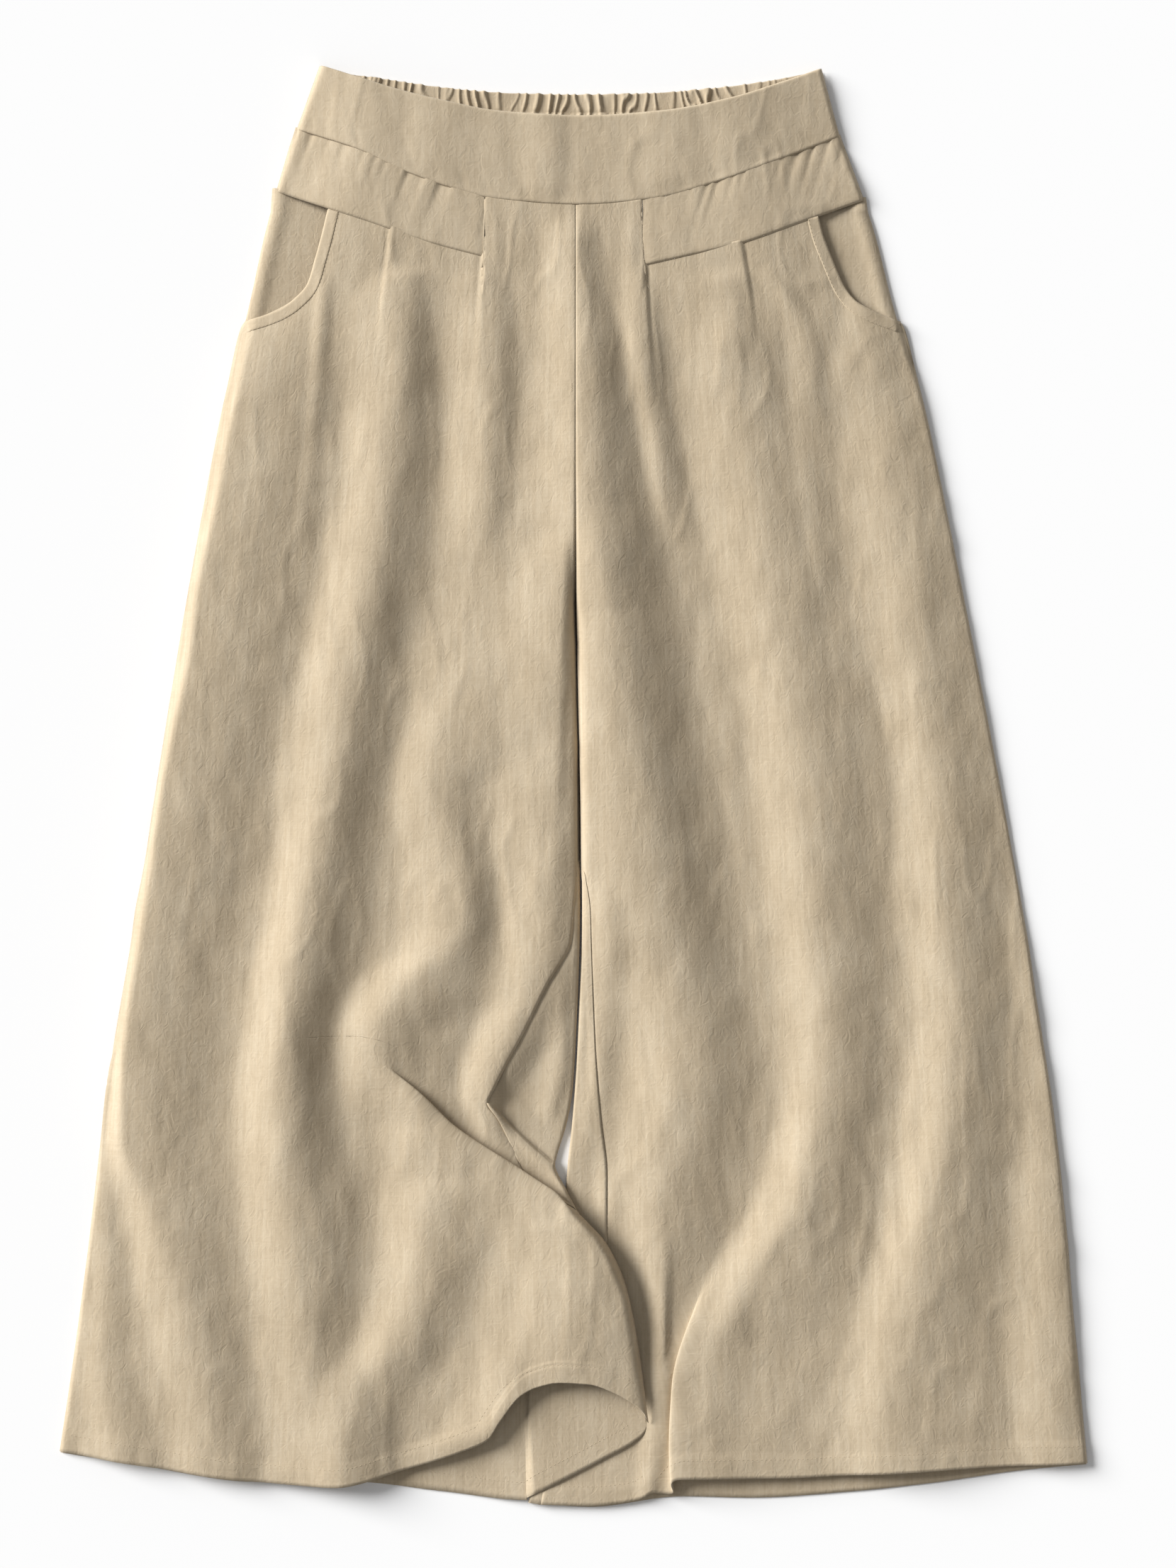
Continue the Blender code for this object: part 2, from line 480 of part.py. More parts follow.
def wrapped(inner, seam, amount, radius, side, floor_height, top_height):
    """The edge of a back panel that turns over the inner edge of its leg, up to the inseam.

    Gives the points from the floor on, the first of them still flat. Only `amount` of the half
    turn is made, so the edge stands up where it is a half, and lies over where it is 1.
    """
    edge = inner[0] - side * CLOTH / 2
    angle = math.pi * amount
    length = math.hypot(seam[0] - edge + side * radius, seam[1] - inner[1])
    turn_x = edge - side * (radius * math.sin(min(angle, math.pi / 2))
                            + length * max(math.cos(angle), 0.0))
    flat_run = (1 - amount) * math.pi * radius
    floor_z = floor_height(edge - side * radius, inner[1])
    lift = (top_height(edge - side * radius, inner[1]) - floor_z) / 2
    points = []
    for j in range(WRAP_ARC_COLUMNS + 1):
        along = math.pi * radius * j / WRAP_ARC_COLUMNS
        turned = max(along - flat_run, 0.0) / radius
        x = turn_x + side * (min(along - flat_run, 0.0) + radius * math.sin(turned))
        points.append((x, inner[1], floor_z + lift * (1 - math.cos(turned))))
    end_x, end_z = points[-1][0], points[-1][2]
    for j in range(1, WRAP_FLAT_COLUMNS + 1):
        share = j / WRAP_FLAT_COLUMNS
        y = inner[1] + (seam[1] - inner[1]) * share
        if amount < 1:
            x = end_x + side * math.cos(angle) * length * share
            points.append((x, y, end_z + math.sin(angle) * length * share))
        else:
            x = end_x + (seam[0] - end_x) * share
            points.append((x, y, top_height(x, y)))
    return np.array(points)


def right_back_grid():
    grid = []
    phases = np.array(PLEAT_PHASES)
    for side_y, inner_x, inner_y, seam_x, seam_y, amount, dip in mesh_rows(RIGHT_BACK_ROWS):

        def top_height(x, y):
            base = float(right_height(x, y) + climb(x, y))
            away = smooth(np.hypot(x - seam_x, y - seam_y) / 16)
            return base - dip * away * (base - FRONT_MID - AIR_EDGE)

        over = wrapped((inner_x, inner_y), (seam_x, seam_y), amount, WRAP_ROUND_RIGHT, 1,
                       lambda x, y: BACK_MID + float(climb(x, y)), top_height)
        if inner_y < CORNER_BELOW:
            over[-WRAP_FLAT_COLUMNS:] = np.nan
            over[:, 0] += inner_x - CLOTH / 2 - np.nanmax(over[:, 0])
        side_x = column(SIDE, 1, side_y)
        line = min(column(PLEAT_LINE, 1, inner_y), over[0, 0] - TURN - 2)
        outer = np.linspace(side_x, line - TURN, RIGHT_BACK_FLOOR_COLUMNS + 1)[:-1]
        inner = np.linspace(line + TURN, over[0, 0], RIGHT_BACK_INNER_COLUMNS + 1)[1:-1]
        x = np.concatenate((outer, line + phases, inner))
        phase = np.concatenate((outer * 0 - TURN, phases, inner * 0 + TURN))
        share = (x - side_x) / (inner_x - side_x)
        y = side_y + (inner_y - side_y) * share
        y = y + smooth((inner_y - 300) / 110) * (band_edge(x) - GAP - 430 - (412 - 430) * share)
        y = y + smooth((-400 - inner_y) / 30) * bend(HEM_RIGHT_BACK, x, side_x, inner_x)
        shift = overhang(phase, PLEAT_TUCK) * smooth((-385 - inner_y) / 25)
        floor = np.stack((x + shift, y, BACK_MID + climb(x, y)), axis=1)
        grid.append(np.concatenate((floor, over)))
    return np.array(grid)


def left_back_grid():
    grid = []
    for side_y, inner_x, inner_y, seam_x, seam_y, amount in mesh_rows(LEFT_BACK_ROWS):
        over = wrapped((inner_x, inner_y), (seam_x, seam_y), amount, WRAP_ROUND_LEFT, -1,
                       lambda x, y: BACK_MID, lambda x, y: float(left_height(x, y)))
        side_x = column(SIDE, 2, side_y)
        x = np.linspace(over[0, 0], side_x, LEFT_BACK_FLOOR_COLUMNS + 1)[1:]
        share = (x - inner_x) / (side_x - inner_x)
        y = inner_y + (side_y - inner_y) * share
        y = y + smooth((inner_y - 300) / 110) * (band_edge(x) - GAP - 412 - (430 - 412) * share)
        y = y + smooth((-400 - inner_y) / 80) * bend(HEM_LEFT_BACK, x, inner_x, side_x)
        floor = np.stack((x, y, x * 0 + BACK_MID), axis=1)
        grid.append(np.concatenate((over[::-1], floor)))
    return np.array(grid)


def waistband_front_grid():
    grid = []
    for v in np.linspace(0, 1, 4):
        share = np.linspace(0, 1, 25)
        top_x = -172 + 339 * share
        low_x = -187 + 366 * share
        top_y = through(*zip(*FRONT_TOP), top_x)
        low_y = through(*zip(*WAIST_SEAM), low_x)
        x = top_x + (low_x - top_x) * v
        y = top_y + (low_y - top_y) * v
        grid.append(np.stack((x, y, bed(x, np.minimum(y, 420.0))), axis=1))
    return np.array(grid)


def waistband_back_walls():
    """The gathered band: waves on the side that shows, flat where it lies on the table."""
    count = GATHERS * GATHER_STEPS
    share = np.linspace(0, 1, count + 1)
    top_x = BAND_HIGH[0] + (BAND_HIGH[1] - BAND_HIGH[0]) * share
    low_x = BAND_LOW[0] + (BAND_LOW[1] - BAND_LOW[0]) * share
    top_y = through(*zip(*BACK_TOP), top_x)
    low_y = band_edge(low_x)
    wave = np.cos(2 * np.pi * (GATHERS * share + 0.3 * np.sin(9 * np.pi * share)))
    edge = smooth((np.minimum(share, 1 - share) * 340 - 6) / 40)
    height = GATHER_LOW + GATHER_RISE * edge * (0.5 + 0.5 * wave)
    rows = ((top_x, top_y), (low_x, low_y))
    over = np.array([np.stack((x, y, height), axis=1) for x, y in rows])
    under = np.array([np.stack((x, y, height * 0), axis=1) for x, y in rows])
    return under, over


def yoke_grid(side):
    edge = YOKE_EDGE_RIGHT if side < 0 else YOKE_EDGE_LEFT
    share = np.linspace(0, 1, 13)
    if side < 0:
        low_x = -200.5 + 138.2 * share
        top_x = -188 + 128.7 * share
    else:
        low_x = 48.3 + 147 * share
        top_x = 45.9 + 133.6 * share
    low_y = through(*zip(*edge), low_x)
    top_y = through(*zip(*WAIST_SEAM), top_x) - GAP
    grid = []
    for v in np.linspace(0, 1, 4):
        x = top_x + (low_x - top_x) * v
        y = top_y + (low_y - top_y) * v
        z = bed(x, y) + STACK * (0.3 + 0.7 * smooth(v * 1.5))
        grid.append(np.stack((x, y, z), axis=1))
    return np.array(grid)


def facing_grid(side):
    index = 1 if side < 0 else 2
    edge = YOKE_EDGE_RIGHT if side < 0 else YOKE_EDGE_LEFT
    grid = []
    for y_row in (390, 373, 355, 339, 328, 320, 312):
        outer = column(SIDE, index, y_row) - side * GAP
        inner = column(POCKET, index, y_row) - side * FACING_UNDERLAP
        x = np.linspace(outer, inner, 5)
        y = x * 0 + y_row
        if y_row == 390:
            y = through(*zip(*edge), x) + YOKE_LAP
        grid.append(np.stack((x, y, x * 0 + FRONT_MID), axis=1))
    return np.array(grid)


def binding_grid(front, side):
    """The strip that binds a pocket opening: the outer strip of the leg front, moved out."""
    strip = front[:POCKET_ROWS, :2] if side < 0 else front[:POCKET_ROWS, -2:]
    grid = strip.copy()
    grid[:, :, 2] += CLOTH / 2 + GAP + BINDING_CLOTH / 2
    grid[0, :, 1] -= YOKE_LAP + 4 * GAP
    return grid


def linen(name):
    material = bpy.data.materials.new(name)
    material.use_nodes = True
    shader = material.node_tree.nodes["Principled BSDF"]
    shader.inputs["Base Color"].default_value = (*LINEN, 1.0)
    shader.inputs["Roughness"].default_value = 0.9
    shader.inputs["Metallic"].default_value = 0.0
    return material


def grid_faces(rows, columns):
    return [(i * columns + j, i * columns + j + 1, (i + 1) * columns + j + 1, (i + 1) * columns + j)
            for i in range(rows - 1) for j in range(columns - 1)]


def add_object(name, points, faces, collection):
    """A mesh of the points given. Faces with a blank corner are left out."""
    present = ~np.isnan(points[:, 0])
    number = np.cumsum(present) - 1
    faces = [[int(number[i]) for i in face] for face in faces if all(present[i] for i in face)]
    mesh = bpy.data.meshes.new(name)
    mesh.from_pydata([tuple(point * MM) for point in points[present]], [], faces)
    mesh.update()
    obj = bpy.data.objects.new(name, mesh)
    obj.data.materials.append(linen(name + "_linen"))
    collection.objects.link(obj)
    return obj


def cloth(name, grid, thickness, collection):
    """A piece of cloth as the surface in its middle, given its thickness by Solidify."""
    rows, columns = grid.shape[:2]
    obj = add_object(name, grid.reshape(-1, 3), grid_faces(rows, columns), collection)
    upward = sum(polygon.normal.z * polygon.area for polygon in obj.data.polygons)
    if upward < 0:
        obj.data.flip_normals()
    wall = obj.modifiers.new("wall", "SOLIDIFY")
    wall.thickness = thickness * MM
    wall.offset = 0.0
    wall.use_even_offset = False
    return obj


def padded_band(name, under, over, collection):
    """A piece whose upper side has its own form over a plain underside."""
    rows, columns = over.shape[:2]
    count = rows * columns
    faces = [tuple(reversed(face)) for face in grid_faces(rows, columns)]
    lower = [tuple(i + count for i in reversed(face)) for face in faces]
    border = ([j for j in range(columns)] + [i * columns + columns - 1 for i in range(1, rows)]
              + [(rows - 1) * columns + j for j in range(columns - 2, -1, -1)]
              + [i * columns for i in range(rows - 2, 0, -1)])
    sides = [(a, b, b + count, a + count) for a, b in zip(border, border[1:] + border[:1])]
    points = np.concatenate((over.reshape(-1, 3), under.reshape(-1, 3)))
    obj = add_object(name, points, faces + lower + sides, collection)
    return obj


def build():
    for obj in list(bpy.data.objects):
        bpy.data.objects.remove(obj, do_unlink=True)
    collection = bpy.data.collections.new("palazzo_pants")
    bpy.context.scene.collection.children.link(collection)

    cloth("back_right", right_back_grid(), CLOTH, collection)
    cloth("back_left", left_back_grid(), CLOTH, collection)
    padded_band("waistband_back", *waistband_back_walls(), collection)
    fronts = {-1: right_front_grid(), 1: left_front_grid()}
    for side, word in ((-1, "right"), (1, "left")):
        cloth("pocket_facing_" + word, facing_grid(side), CLOTH, collection)
        cloth("front_" + word, fronts[side], CLOTH, collection)
        cloth("pocket_binding_" + word, binding_grid(fronts[side], side), BINDING_CLOTH, collection)
        cloth("yoke_" + word, yoke_grid(side), CLOTH, collection)
    cloth("waistband_front", waistband_front_grid(), BAND_CLOTH, collection)


build()
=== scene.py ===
import math

import bpy
import numpy as np
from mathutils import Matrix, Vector
from mathutils.bvhtree import BVHTree


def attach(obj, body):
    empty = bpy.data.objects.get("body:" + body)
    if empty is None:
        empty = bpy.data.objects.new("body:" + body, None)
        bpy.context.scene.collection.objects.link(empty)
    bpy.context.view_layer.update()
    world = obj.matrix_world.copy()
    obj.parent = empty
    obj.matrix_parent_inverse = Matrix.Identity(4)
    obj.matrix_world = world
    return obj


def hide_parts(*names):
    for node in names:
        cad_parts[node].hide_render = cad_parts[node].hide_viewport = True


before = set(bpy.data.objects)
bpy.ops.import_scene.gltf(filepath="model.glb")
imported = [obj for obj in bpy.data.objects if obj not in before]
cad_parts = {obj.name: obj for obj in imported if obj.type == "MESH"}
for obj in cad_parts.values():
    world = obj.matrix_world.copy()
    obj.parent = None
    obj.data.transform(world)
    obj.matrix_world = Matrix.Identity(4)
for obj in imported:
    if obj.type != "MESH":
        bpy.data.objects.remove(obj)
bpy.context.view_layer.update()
collection = bpy.context.scene.collection


# ---- Leg backs -------------------------------------------------------------------------------
# The two back panels, cut from a plain-weave oatmeal linen, lie flat on the surface. At the
# inside of each leg the cloth comes round the edge and up to the inseam, so a strip of the back
# shows from above. The right one dips under a roll where its leg is twisted.

# The linen: thick and thin yarns show as streaks along the warp, and washing has left small
# worm-like creases, which the bump raises and whose lines are also painted lighter, a painted
# highlight. A grain has its sizes across and along in metres, detail and distortion.
LINEN_COLOUR = (0.488, 0.395, 0.272)
LINEN_DARK = (0.385, 0.304, 0.200)
LINEN_LIGHT = (0.580, 0.486, 0.352)
DARK_AT, LIGHT_AT = 0.22, 0.78
LINEN_ROUGHNESS = 0.86
LINEN_GRAINS = {
    "warp": (0.0012, 0.030, 2.0, 0.0),
    "slubs": (0.0028, 0.055, 2.0, 0.0),
    "weft": (0.016, 0.0011, 2.0, 0.0),
    "patches": (0.030, 0.050, 3.0, 0.0),
    "worms": (0.0056, 0.0080, 1.0, 0.9),
    "more_worms": (0.0046, 0.0062, 1.0, 0.7),
    "gaps": (0.0085, 0.0110, 1.0, 0.0),
}
SHADE_SHARES = {"warp": 0.30, "slubs": 0.34, "weft": 0.16, "patches": 0.50}
# How much lighter the crease lines are painted: a painted highlight where light would catch their ridges.
CREASE_PAINTED_HIGHLIGHT = 0.07
RELIEF_SHARES = {"creases": 0.36, "worms": 0.70, "warp": 0.10, "weft": 0.06}
RELIEF_DEPTH = 0.00020


def node_group(name, inputs, outputs):
    """An empty shader group with its named inputs (socket type, value) and outputs."""
    group = bpy.data.node_groups.new(name, "ShaderNodeTree")
    for socket, (kind, value) in inputs.items():
        made = group.interface.new_socket(socket, in_out="INPUT", socket_type=kind)
        if value is not None:
            made.default_value = value
    for socket, kind in outputs.items():
        group.interface.new_socket(socket, in_out="OUTPUT", socket_type=kind)
    return group, group.nodes.new("NodeGroupInput"), group.nodes.new("NodeGroupOutput")


def add_node(tree, kind, values=(), **settings):
    """A node with its settings, and values for its input sockets."""
    node = tree.nodes.new(kind)
    for key, value in settings.items():
        setattr(node, key, value)
    for socket, value in dict(values).items():
        node.inputs[socket].default_value = value
    return node


def maths(tree, operation, first, second):
    """The result of a maths node on two sockets or numbers."""
    node = tree.nodes.new("ShaderNodeMath")
    node.operation = operation
    for socket, value in zip(node.inputs, (first, second)):
        if isinstance(value, (int, float)):
            socket.default_value = value
        else:
            tree.links.new(value, socket)
    return node.outputs[0]


def stretched_noise(tree, vector, across, along, detail, distortion):
    """Noise whose grains measure across by along, in metres of cloth."""
    scale = add_node(tree, "ShaderNodeMapping", {"Scale": (1 / across, 1 / along, 1.0)})
    tree.links.new(vector, scale.inputs["Vector"])
    noise = add_node(tree, "ShaderNodeTexNoise",
                     {"Scale": 1.0, "Detail": detail, "Distortion": distortion})
    tree.links.new(scale.outputs[0], noise.inputs["Vector"])
    return noise.outputs["Fac"]


def creases_from(tree, noise, width):
    """Narrow ridges where the noise passes its middle value."""
    away = maths(tree, "ABSOLUTE", maths(tree, "SUBTRACT", noise, 0.5), 0.0)
    away = maths(tree, "MINIMUM", maths(tree, "DIVIDE", away, width), 1.0)
    return maths(tree, "SUBTRACT", 1.0, away)


def within(tree, value, start, end):
    """A mask that eases from 0 at the start value to 1 at the end value."""
    mask = add_node(tree, "ShaderNodeMapRange", {"From Min": start, "From Max": end},
                    interpolation_type="SMOOTHSTEP")
    tree.links.new(value, mask.inputs["Value"])
    return mask.outputs["Result"]


def make_linen_group():
    """Yarn streaks, washed-in creases and weave over the cloth's own coordinates, with a painted highlight
    along the creases.
    """
    tree, given, made = node_group(
        "linen_cloth",
        {"Cloth": ("NodeSocketVector", None), "Creases": ("NodeSocketFloat", 1.0),
         "Streaks": ("NodeSocketFloat", 1.0)},
        {"Tone_and_painted_highlight": "NodeSocketFloat", "Height": "NodeSocketFloat"})
    grain = {name: stretched_noise(tree, given.outputs["Cloth"], *sizes)
             for name, sizes in LINEN_GRAINS.items()}
    lines = maths(tree, "ADD",
                  maths(tree, "MULTIPLY", creases_from(tree, grain["worms"], 0.17),
                        within(tree, grain["gaps"], 0.42, 0.56)),
                  maths(tree, "MULTIPLY", creases_from(tree, grain["more_worms"], 0.16),
                        within(tree, grain["gaps"], 0.54, 0.40)))
    grain_tone_and_highlight = 0.5
    for name, share in SHADE_SHARES.items():
        part = maths(tree, "MULTIPLY", maths(tree, "SUBTRACT", grain[name], 0.5), share)
        grain_tone_and_highlight = maths(tree, "ADD", maths(tree, "MULTIPLY", part, given.outputs["Streaks"]), grain_tone_and_highlight)
    # Painted highlight: the crease lines are made lighter in colour, as if light caught their ridges.
    grain_tone_and_highlight = maths(tree, "ADD", grain_tone_and_highlight, maths(tree, "MULTIPLY", lines, CREASE_PAINTED_HIGHLIGHT))
    relief = maths(tree, "ADD", maths(tree, "MULTIPLY", lines, RELIEF_SHARES["creases"]),
                   maths(tree, "MULTIPLY", grain["worms"], RELIEF_SHARES["worms"]))
    relief = maths(tree, "MULTIPLY", relief, given.outputs["Creases"])
    yarns = maths(tree, "ADD", maths(tree, "MULTIPLY", grain["warp"], RELIEF_SHARES["warp"]),
                  maths(tree, "MULTIPLY", grain["weft"], RELIEF_SHARES["weft"]))
    tree.links.new(grain_tone_and_highlight, made.inputs["Tone_and_painted_highlight"])
    tree.links.new(maths(tree, "ADD", relief, yarns), made.inputs["Height"])
    return tree


def make_linen(name, creases, streaks):
    """The linen's material, with the strength of its creases and its yarn streaks."""
    material = bpy.data.materials.new(name)
    material.use_nodes = True
    tree = material.node_tree
    shader = tree.nodes["Principled BSDF"]
    shader.inputs["Roughness"].default_value = LINEN_ROUGHNESS
    shader.inputs["Specular IOR Level"].default_value = 0.25
    shader.inputs["Sheen Weight"].default_value = 0.12
    shader.inputs["Sheen Roughness"].default_value = 0.5
    place = add_node(tree, "ShaderNodeUVMap", uv_map="cloth")
    linen = add_node(tree, "ShaderNodeGroup", node_tree=linen_group)
    linen.inputs["Creases"].default_value = creases
    linen.inputs["Streaks"].default_value = streaks
    tree.links.new(place.outputs[0], linen.inputs["Cloth"])
    ramp = add_node(tree, "ShaderNodeValToRGB")
    ramp.color_ramp.elements[0].position = DARK_AT
    ramp.color_ramp.elements[0].color = (*LINEN_DARK, 1)
    ramp.color_ramp.elements[1].position = LIGHT_AT
    ramp.color_ramp.elements[1].color = (*LINEN_LIGHT, 1)
    middle = ramp.color_ramp.elements.new(0.5)
    middle.color = (*LINEN_COLOUR, 1)
    bump = add_node(tree, "ShaderNodeBump", {"Strength": 1.0, "Distance": RELIEF_DEPTH})
    # The colour takes the yarn tone together with the painted highlight on the creases.
    tree.links.new(linen.outputs["Tone_and_painted_highlight"], ramp.inputs["Fac"])
    tree.links.new(ramp.outputs["Color"], shader.inputs["Base Color"])
    tree.links.new(linen.outputs["Height"], bump.inputs["Height"])
    tree.links.new(bump.outputs["Normal"], shader.inputs["Normal"])
    return material


linen_group = make_linen_group()
leg_linen = make_linen("leg_linen", 1.0, 1.0)
band_linen = make_linen("band_linen", 0.85, 0.8)

# Sizes from here on are in millimetres, and each mesh is made in metres. The heights are those
# of the middle of the cloth: a back on the table, a front on it, and the air under the folds.
MM = 0.001
SHELL = 0.7
STEP = 2.9
CLOTH = 1.2
GAP = 0.3
BACK_MID = 0.55
FRONT_MID = 2.1
STACK = CLOTH + GAP
AIR_EDGE = 0.6
AIR_BODY = 3.0
AIR_WAIST = 5.0
LEG_OVER_LEG = 3.6
SEAM_X = 1.25
GROOVE = 0.35
CROTCH = 124.0
BAND_DEPTH = 55.0
BAND_LOW = (-190.0, 182.0)
BAND_HIGH = (-171.5, 166.5)

# Outer edges of the laid garment: y, x at the wearer's right side, x at the left side.
SIDE = (
    (487, -172, 167), (436, -190, 181), (379, -208, 202), (321, -221, 217), (264, -236, 235),
    (206, -247, 248), (120, -263, 265), (33, -277, 282), (-53, -291, 298), (-140, -305, 312),
    (-226, -316, 325), (-312, -329, 334), (-399, -340, 341), (-458, -349, 347),
)
# Inner edges of the legs below the crotch: y, x of the right leg, x of the left leg.
INNER = (
    (124, 1.0, 1.5), (52, 3.2, 3.5), (-44, 4.2, 4.5), (-94, 4.6, 4.9), (-140, 3.3, 3.6),
    (-188, 1.2, 1.5), (-215, -0.8, -0.4), (-244, -9.0, -3.0), (-272, -6.0, -5.0),
    (-300, 14.0, -7.0), (-484, 50.0, -31.0),
)
# Edges of the waistbands and yokes, and the hems: x, y.
WAIST_SEAM = ((-187, 444), (-144, 429), (-117, 416), (-78, 402), (-53, 396), (4, 392),
              (53, 396), (98, 408), (141, 424), (179, 439))
BACK_TOP = ((-172, 484), (-139, 480), (-82, 472), (-43, 469), (4, 468), (53, 469),
            (91, 472), (130, 477), (167, 484))
YOKE_EDGE_RIGHT = ((-201, 402), (-167, 390), (-134, 379), (-106, 369), (-62, 357))
YOKE_EDGE_LEFT = ((48, 351), (75, 357), (114, 366), (155, 381), (196, 396))
YOKE_ENDS = (-61.0, 46.5)
HEM_RIGHT_BACK = ((-348, -451), (-293, -460), (-216, -471), (-149, -471), (-91, -477),
                  (-33, -483), (-20, -476), (20, -455), (43, -442), (47.5, -437.5), (50, -431))
HEM_LEFT_BACK = ((-31, -484), (11, -487), (73, -480), (120, -481), (187, -477), (245, -471),
                 (302, -463), (347, -459))
# Where the right back is pleated behind the turned corner: y, x.
PLEAT_LINE = ((-250, -12), (-290, -14), (-340, -20), (-400, -30), (-484, -32))
# The upper edge of the roll that the right leg's twist makes over its back: x, y.
ROLL_EDGE = ((-58, -214), (-40, -232), (-26, -245), (-13, -256), (-6, -268), (3, -288))
ROLL_DIP = 5.5
ROLL_BULGE = 1.2

# The folds of the front, each a ridge: a row has the y and the x of its crest, its height, and
# how far it runs down on the side of negative x and of positive x.
FULLNESS = 1.2
RIGHT_FOLDS = {
    "side_roll": (
        (345, -206, 0, 8, 30), (321, -212, 1.6, 8, 54), (300, -218, 3.6, 8, 58),
        (283, -222, 5.0, 8, 62), (235, -232, 6.6, 10, 80), (187, -241, 7.4, 9, 88),
        (139, -252, 7.8, 9, 90), (91, -258, 8.0, 9, 84), (43, -268, 8.2, 9, 88),
        (4, -276, 8.2, 9, 82), (-44, -283, 8.6, 9, 82), (-92, -290, 8.0, 9, 72),
        (-140, -298, 8.2, 9, 74), (-188, -303, 8.2, 11, 74), (-236, -304, 7.4, 14, 72),
        (-284, -283, 5.4, 30, 60), (-332, -266, 5.0, 36, 46), (-380, -255, 4.8, 38, 42),
        (-428, -246, 3.8, 36, 38), (-475, -242, 3.2, 34, 36)),
    "pocket_crease": (
        (350, -169, 0, 8, 8), (321, -170, 1.3, 8, 9), (283, -173, 1.1, 8, 10),
        (235, -176, 0.8, 8, 10), (187, -181, 0.7, 10, 12), (150, -186, 0, 10, 12)),
    "thigh": (
        (352, -112, 1.5, 22, 20), (321, -117, 4.0, 40, 26), (292, -117, 5.4, 43, 28),
        (244, -121, 6.2, 40, 34), (196, -127, 6.6, 40, 37), (148, -135, 7.2, 42, 41),
        (100, -146, 7.3, 40, 42), (52, -156, 7.6, 42, 48), (4, -162, 8.2, 42, 42),
        (-44, -172, 8.4, 36, 46), (-92, -182, 9.0, 32, 52), (-140, -189, 9.6, 36, 41),
        (-188, -194, 9.8, 38, 35), (-236, -195, 9.8, 40, 46), (-284, -190, 8.3, 42, 56),
        (-332, -184, 6.8, 40, 50), (-380, -180, 4.4, 40, 36), (-428, -168, 5.0, 46, 56),
        (-475, -162, 4.0, 44, 54)),
    "knee": (
        (350, -62, 1.2, 22, 18), (321, -57, 2.6, 32, 22), (292, -56, 3.4, 34, 25),
        (244, -58, 4.0, 32, 24), (196, -60, 3.7, 32, 23), (165, -63, 1.9, 30, 22),
        (140, -67, 0.5, 30, 30), (118, -73, 0.3, 36, 50), (100, -78, 1.0, 40, 70),
        (52, -84, 3.4, 34, 76), (20, -93, 4.4, 32, 62), (0, -97, 5.0, 32, 46),
        (-20, -92, 5.3, 36, 36), (-44, -82, 5.6, 44, 30), (-92, -77, 7.0, 46, 30), (-111, -85, 7.2, 46, 40),
        (-125, -100, 7.4, 44, 60), (-140, -114, 7.4, 44, 74), (-168, -132, 7.2, 36, 66),
        (-188, -131, 6.0, 34, 62), (-210, -128, 3.0, 34, 56), (-228, -122, 0, 34, 50)),
    "inseam": (
        (172, -6, 0, 34, 8), (148, -7, 2.4, 38, 8), (100, -9, 3.2, 44, 10),
        (52, -12, 2.6, 44, 12), (4, -14, 2.2, 44, 16), (-44, -15, 2.8, 42, 20),
        (-92, -20, 3.6, 33, 28), (-140, -30, 4.4, 34, 36), (-168, -43, 5.0, 30, 36),
        (-188, -52, 5.2, 28, 30), (-209, -57, 4.6, 24, 22), (-236, -53, 2, 19, 14),
        (-260, -41, 0, 19, 14)),
    "inner_roll": (
        (-120, -7, 0, 10, 8), (-150, -8, 1.0, 12, 8), (-188, -9, 1.8, 17, 9),
        (-215, -14, 1.4, 14, 8), (-240, -20, 0, 12, 8)),
    "hem_edge": (
        (-250, -316, 0, 12, 19), (-284, -317, 1.3, 12, 19), (-380, -317, 2.2, 19, 24),
        (-461, -307, 3, 29, 34)),
    "shin": (
        (-264, -95, 0, 40, 48), (-284, -101, 2.8, 36, 46), (-332, -104, 5.4, 34, 48),
        (-370, -115, 5.2, 36, 46), (-408, -139, 4.0, 38, 46), (-456, -152, 3.0, 36, 44)),
    "flap": (
        (-279, -6, 0, 60, 60), (-312, 4, 2.2, 64, 62), (-341, 4, 3.8, 78, 76),
        (-380, -4, 4.4, 92, 96), (-404, -8, 3.8, 86, 100), (-430, -10, 3.2, 84, 100)),
    "turned": (
        (-380, -53, 0, 29, 24), (-408, -47, 2.4, 34, 22), (-432, -56, 3.0, 38, 18),
        (-447, -77, 2.0, 38, 29), (-466, -101, 0, 29, 29)),
}
CENTRE_FOLDS = {
    "centre": (
        (392, 0, 2, 19, 16), (360, 1, 3.4, 26, 22), (321, 4, 4.6, 32, 26), (292, 9, 5.6, 38, 31),
        (244, 12, 6.2, 44, 34), (196, 15, 6.9, 50, 42), (165, 17, 5.4, 46, 46),
        (140, 20, 2.6, 40, 48), (118, 24, 0, 36, 48)),
    "crotch": (
        (350, 0, 0, 90, 80), (300, 0, 2.0, 100, 85), (250, 0, 3.4, 100, 88), (200, 0, 4.2, 100, 90),
        (150, 0, 4.8, 100, 90), (100, 0, 5.2, 102, 90), (52, 0, 5.0, 104, 92), (4, 0, 4.6, 104, 95),
        (-44, 0, 4.0, 100, 98), (-92, 0, 2.8, 90, 98), (-140, 0, 1.4, 80, 98), (-185, 0, 0, 70, 98)),
}
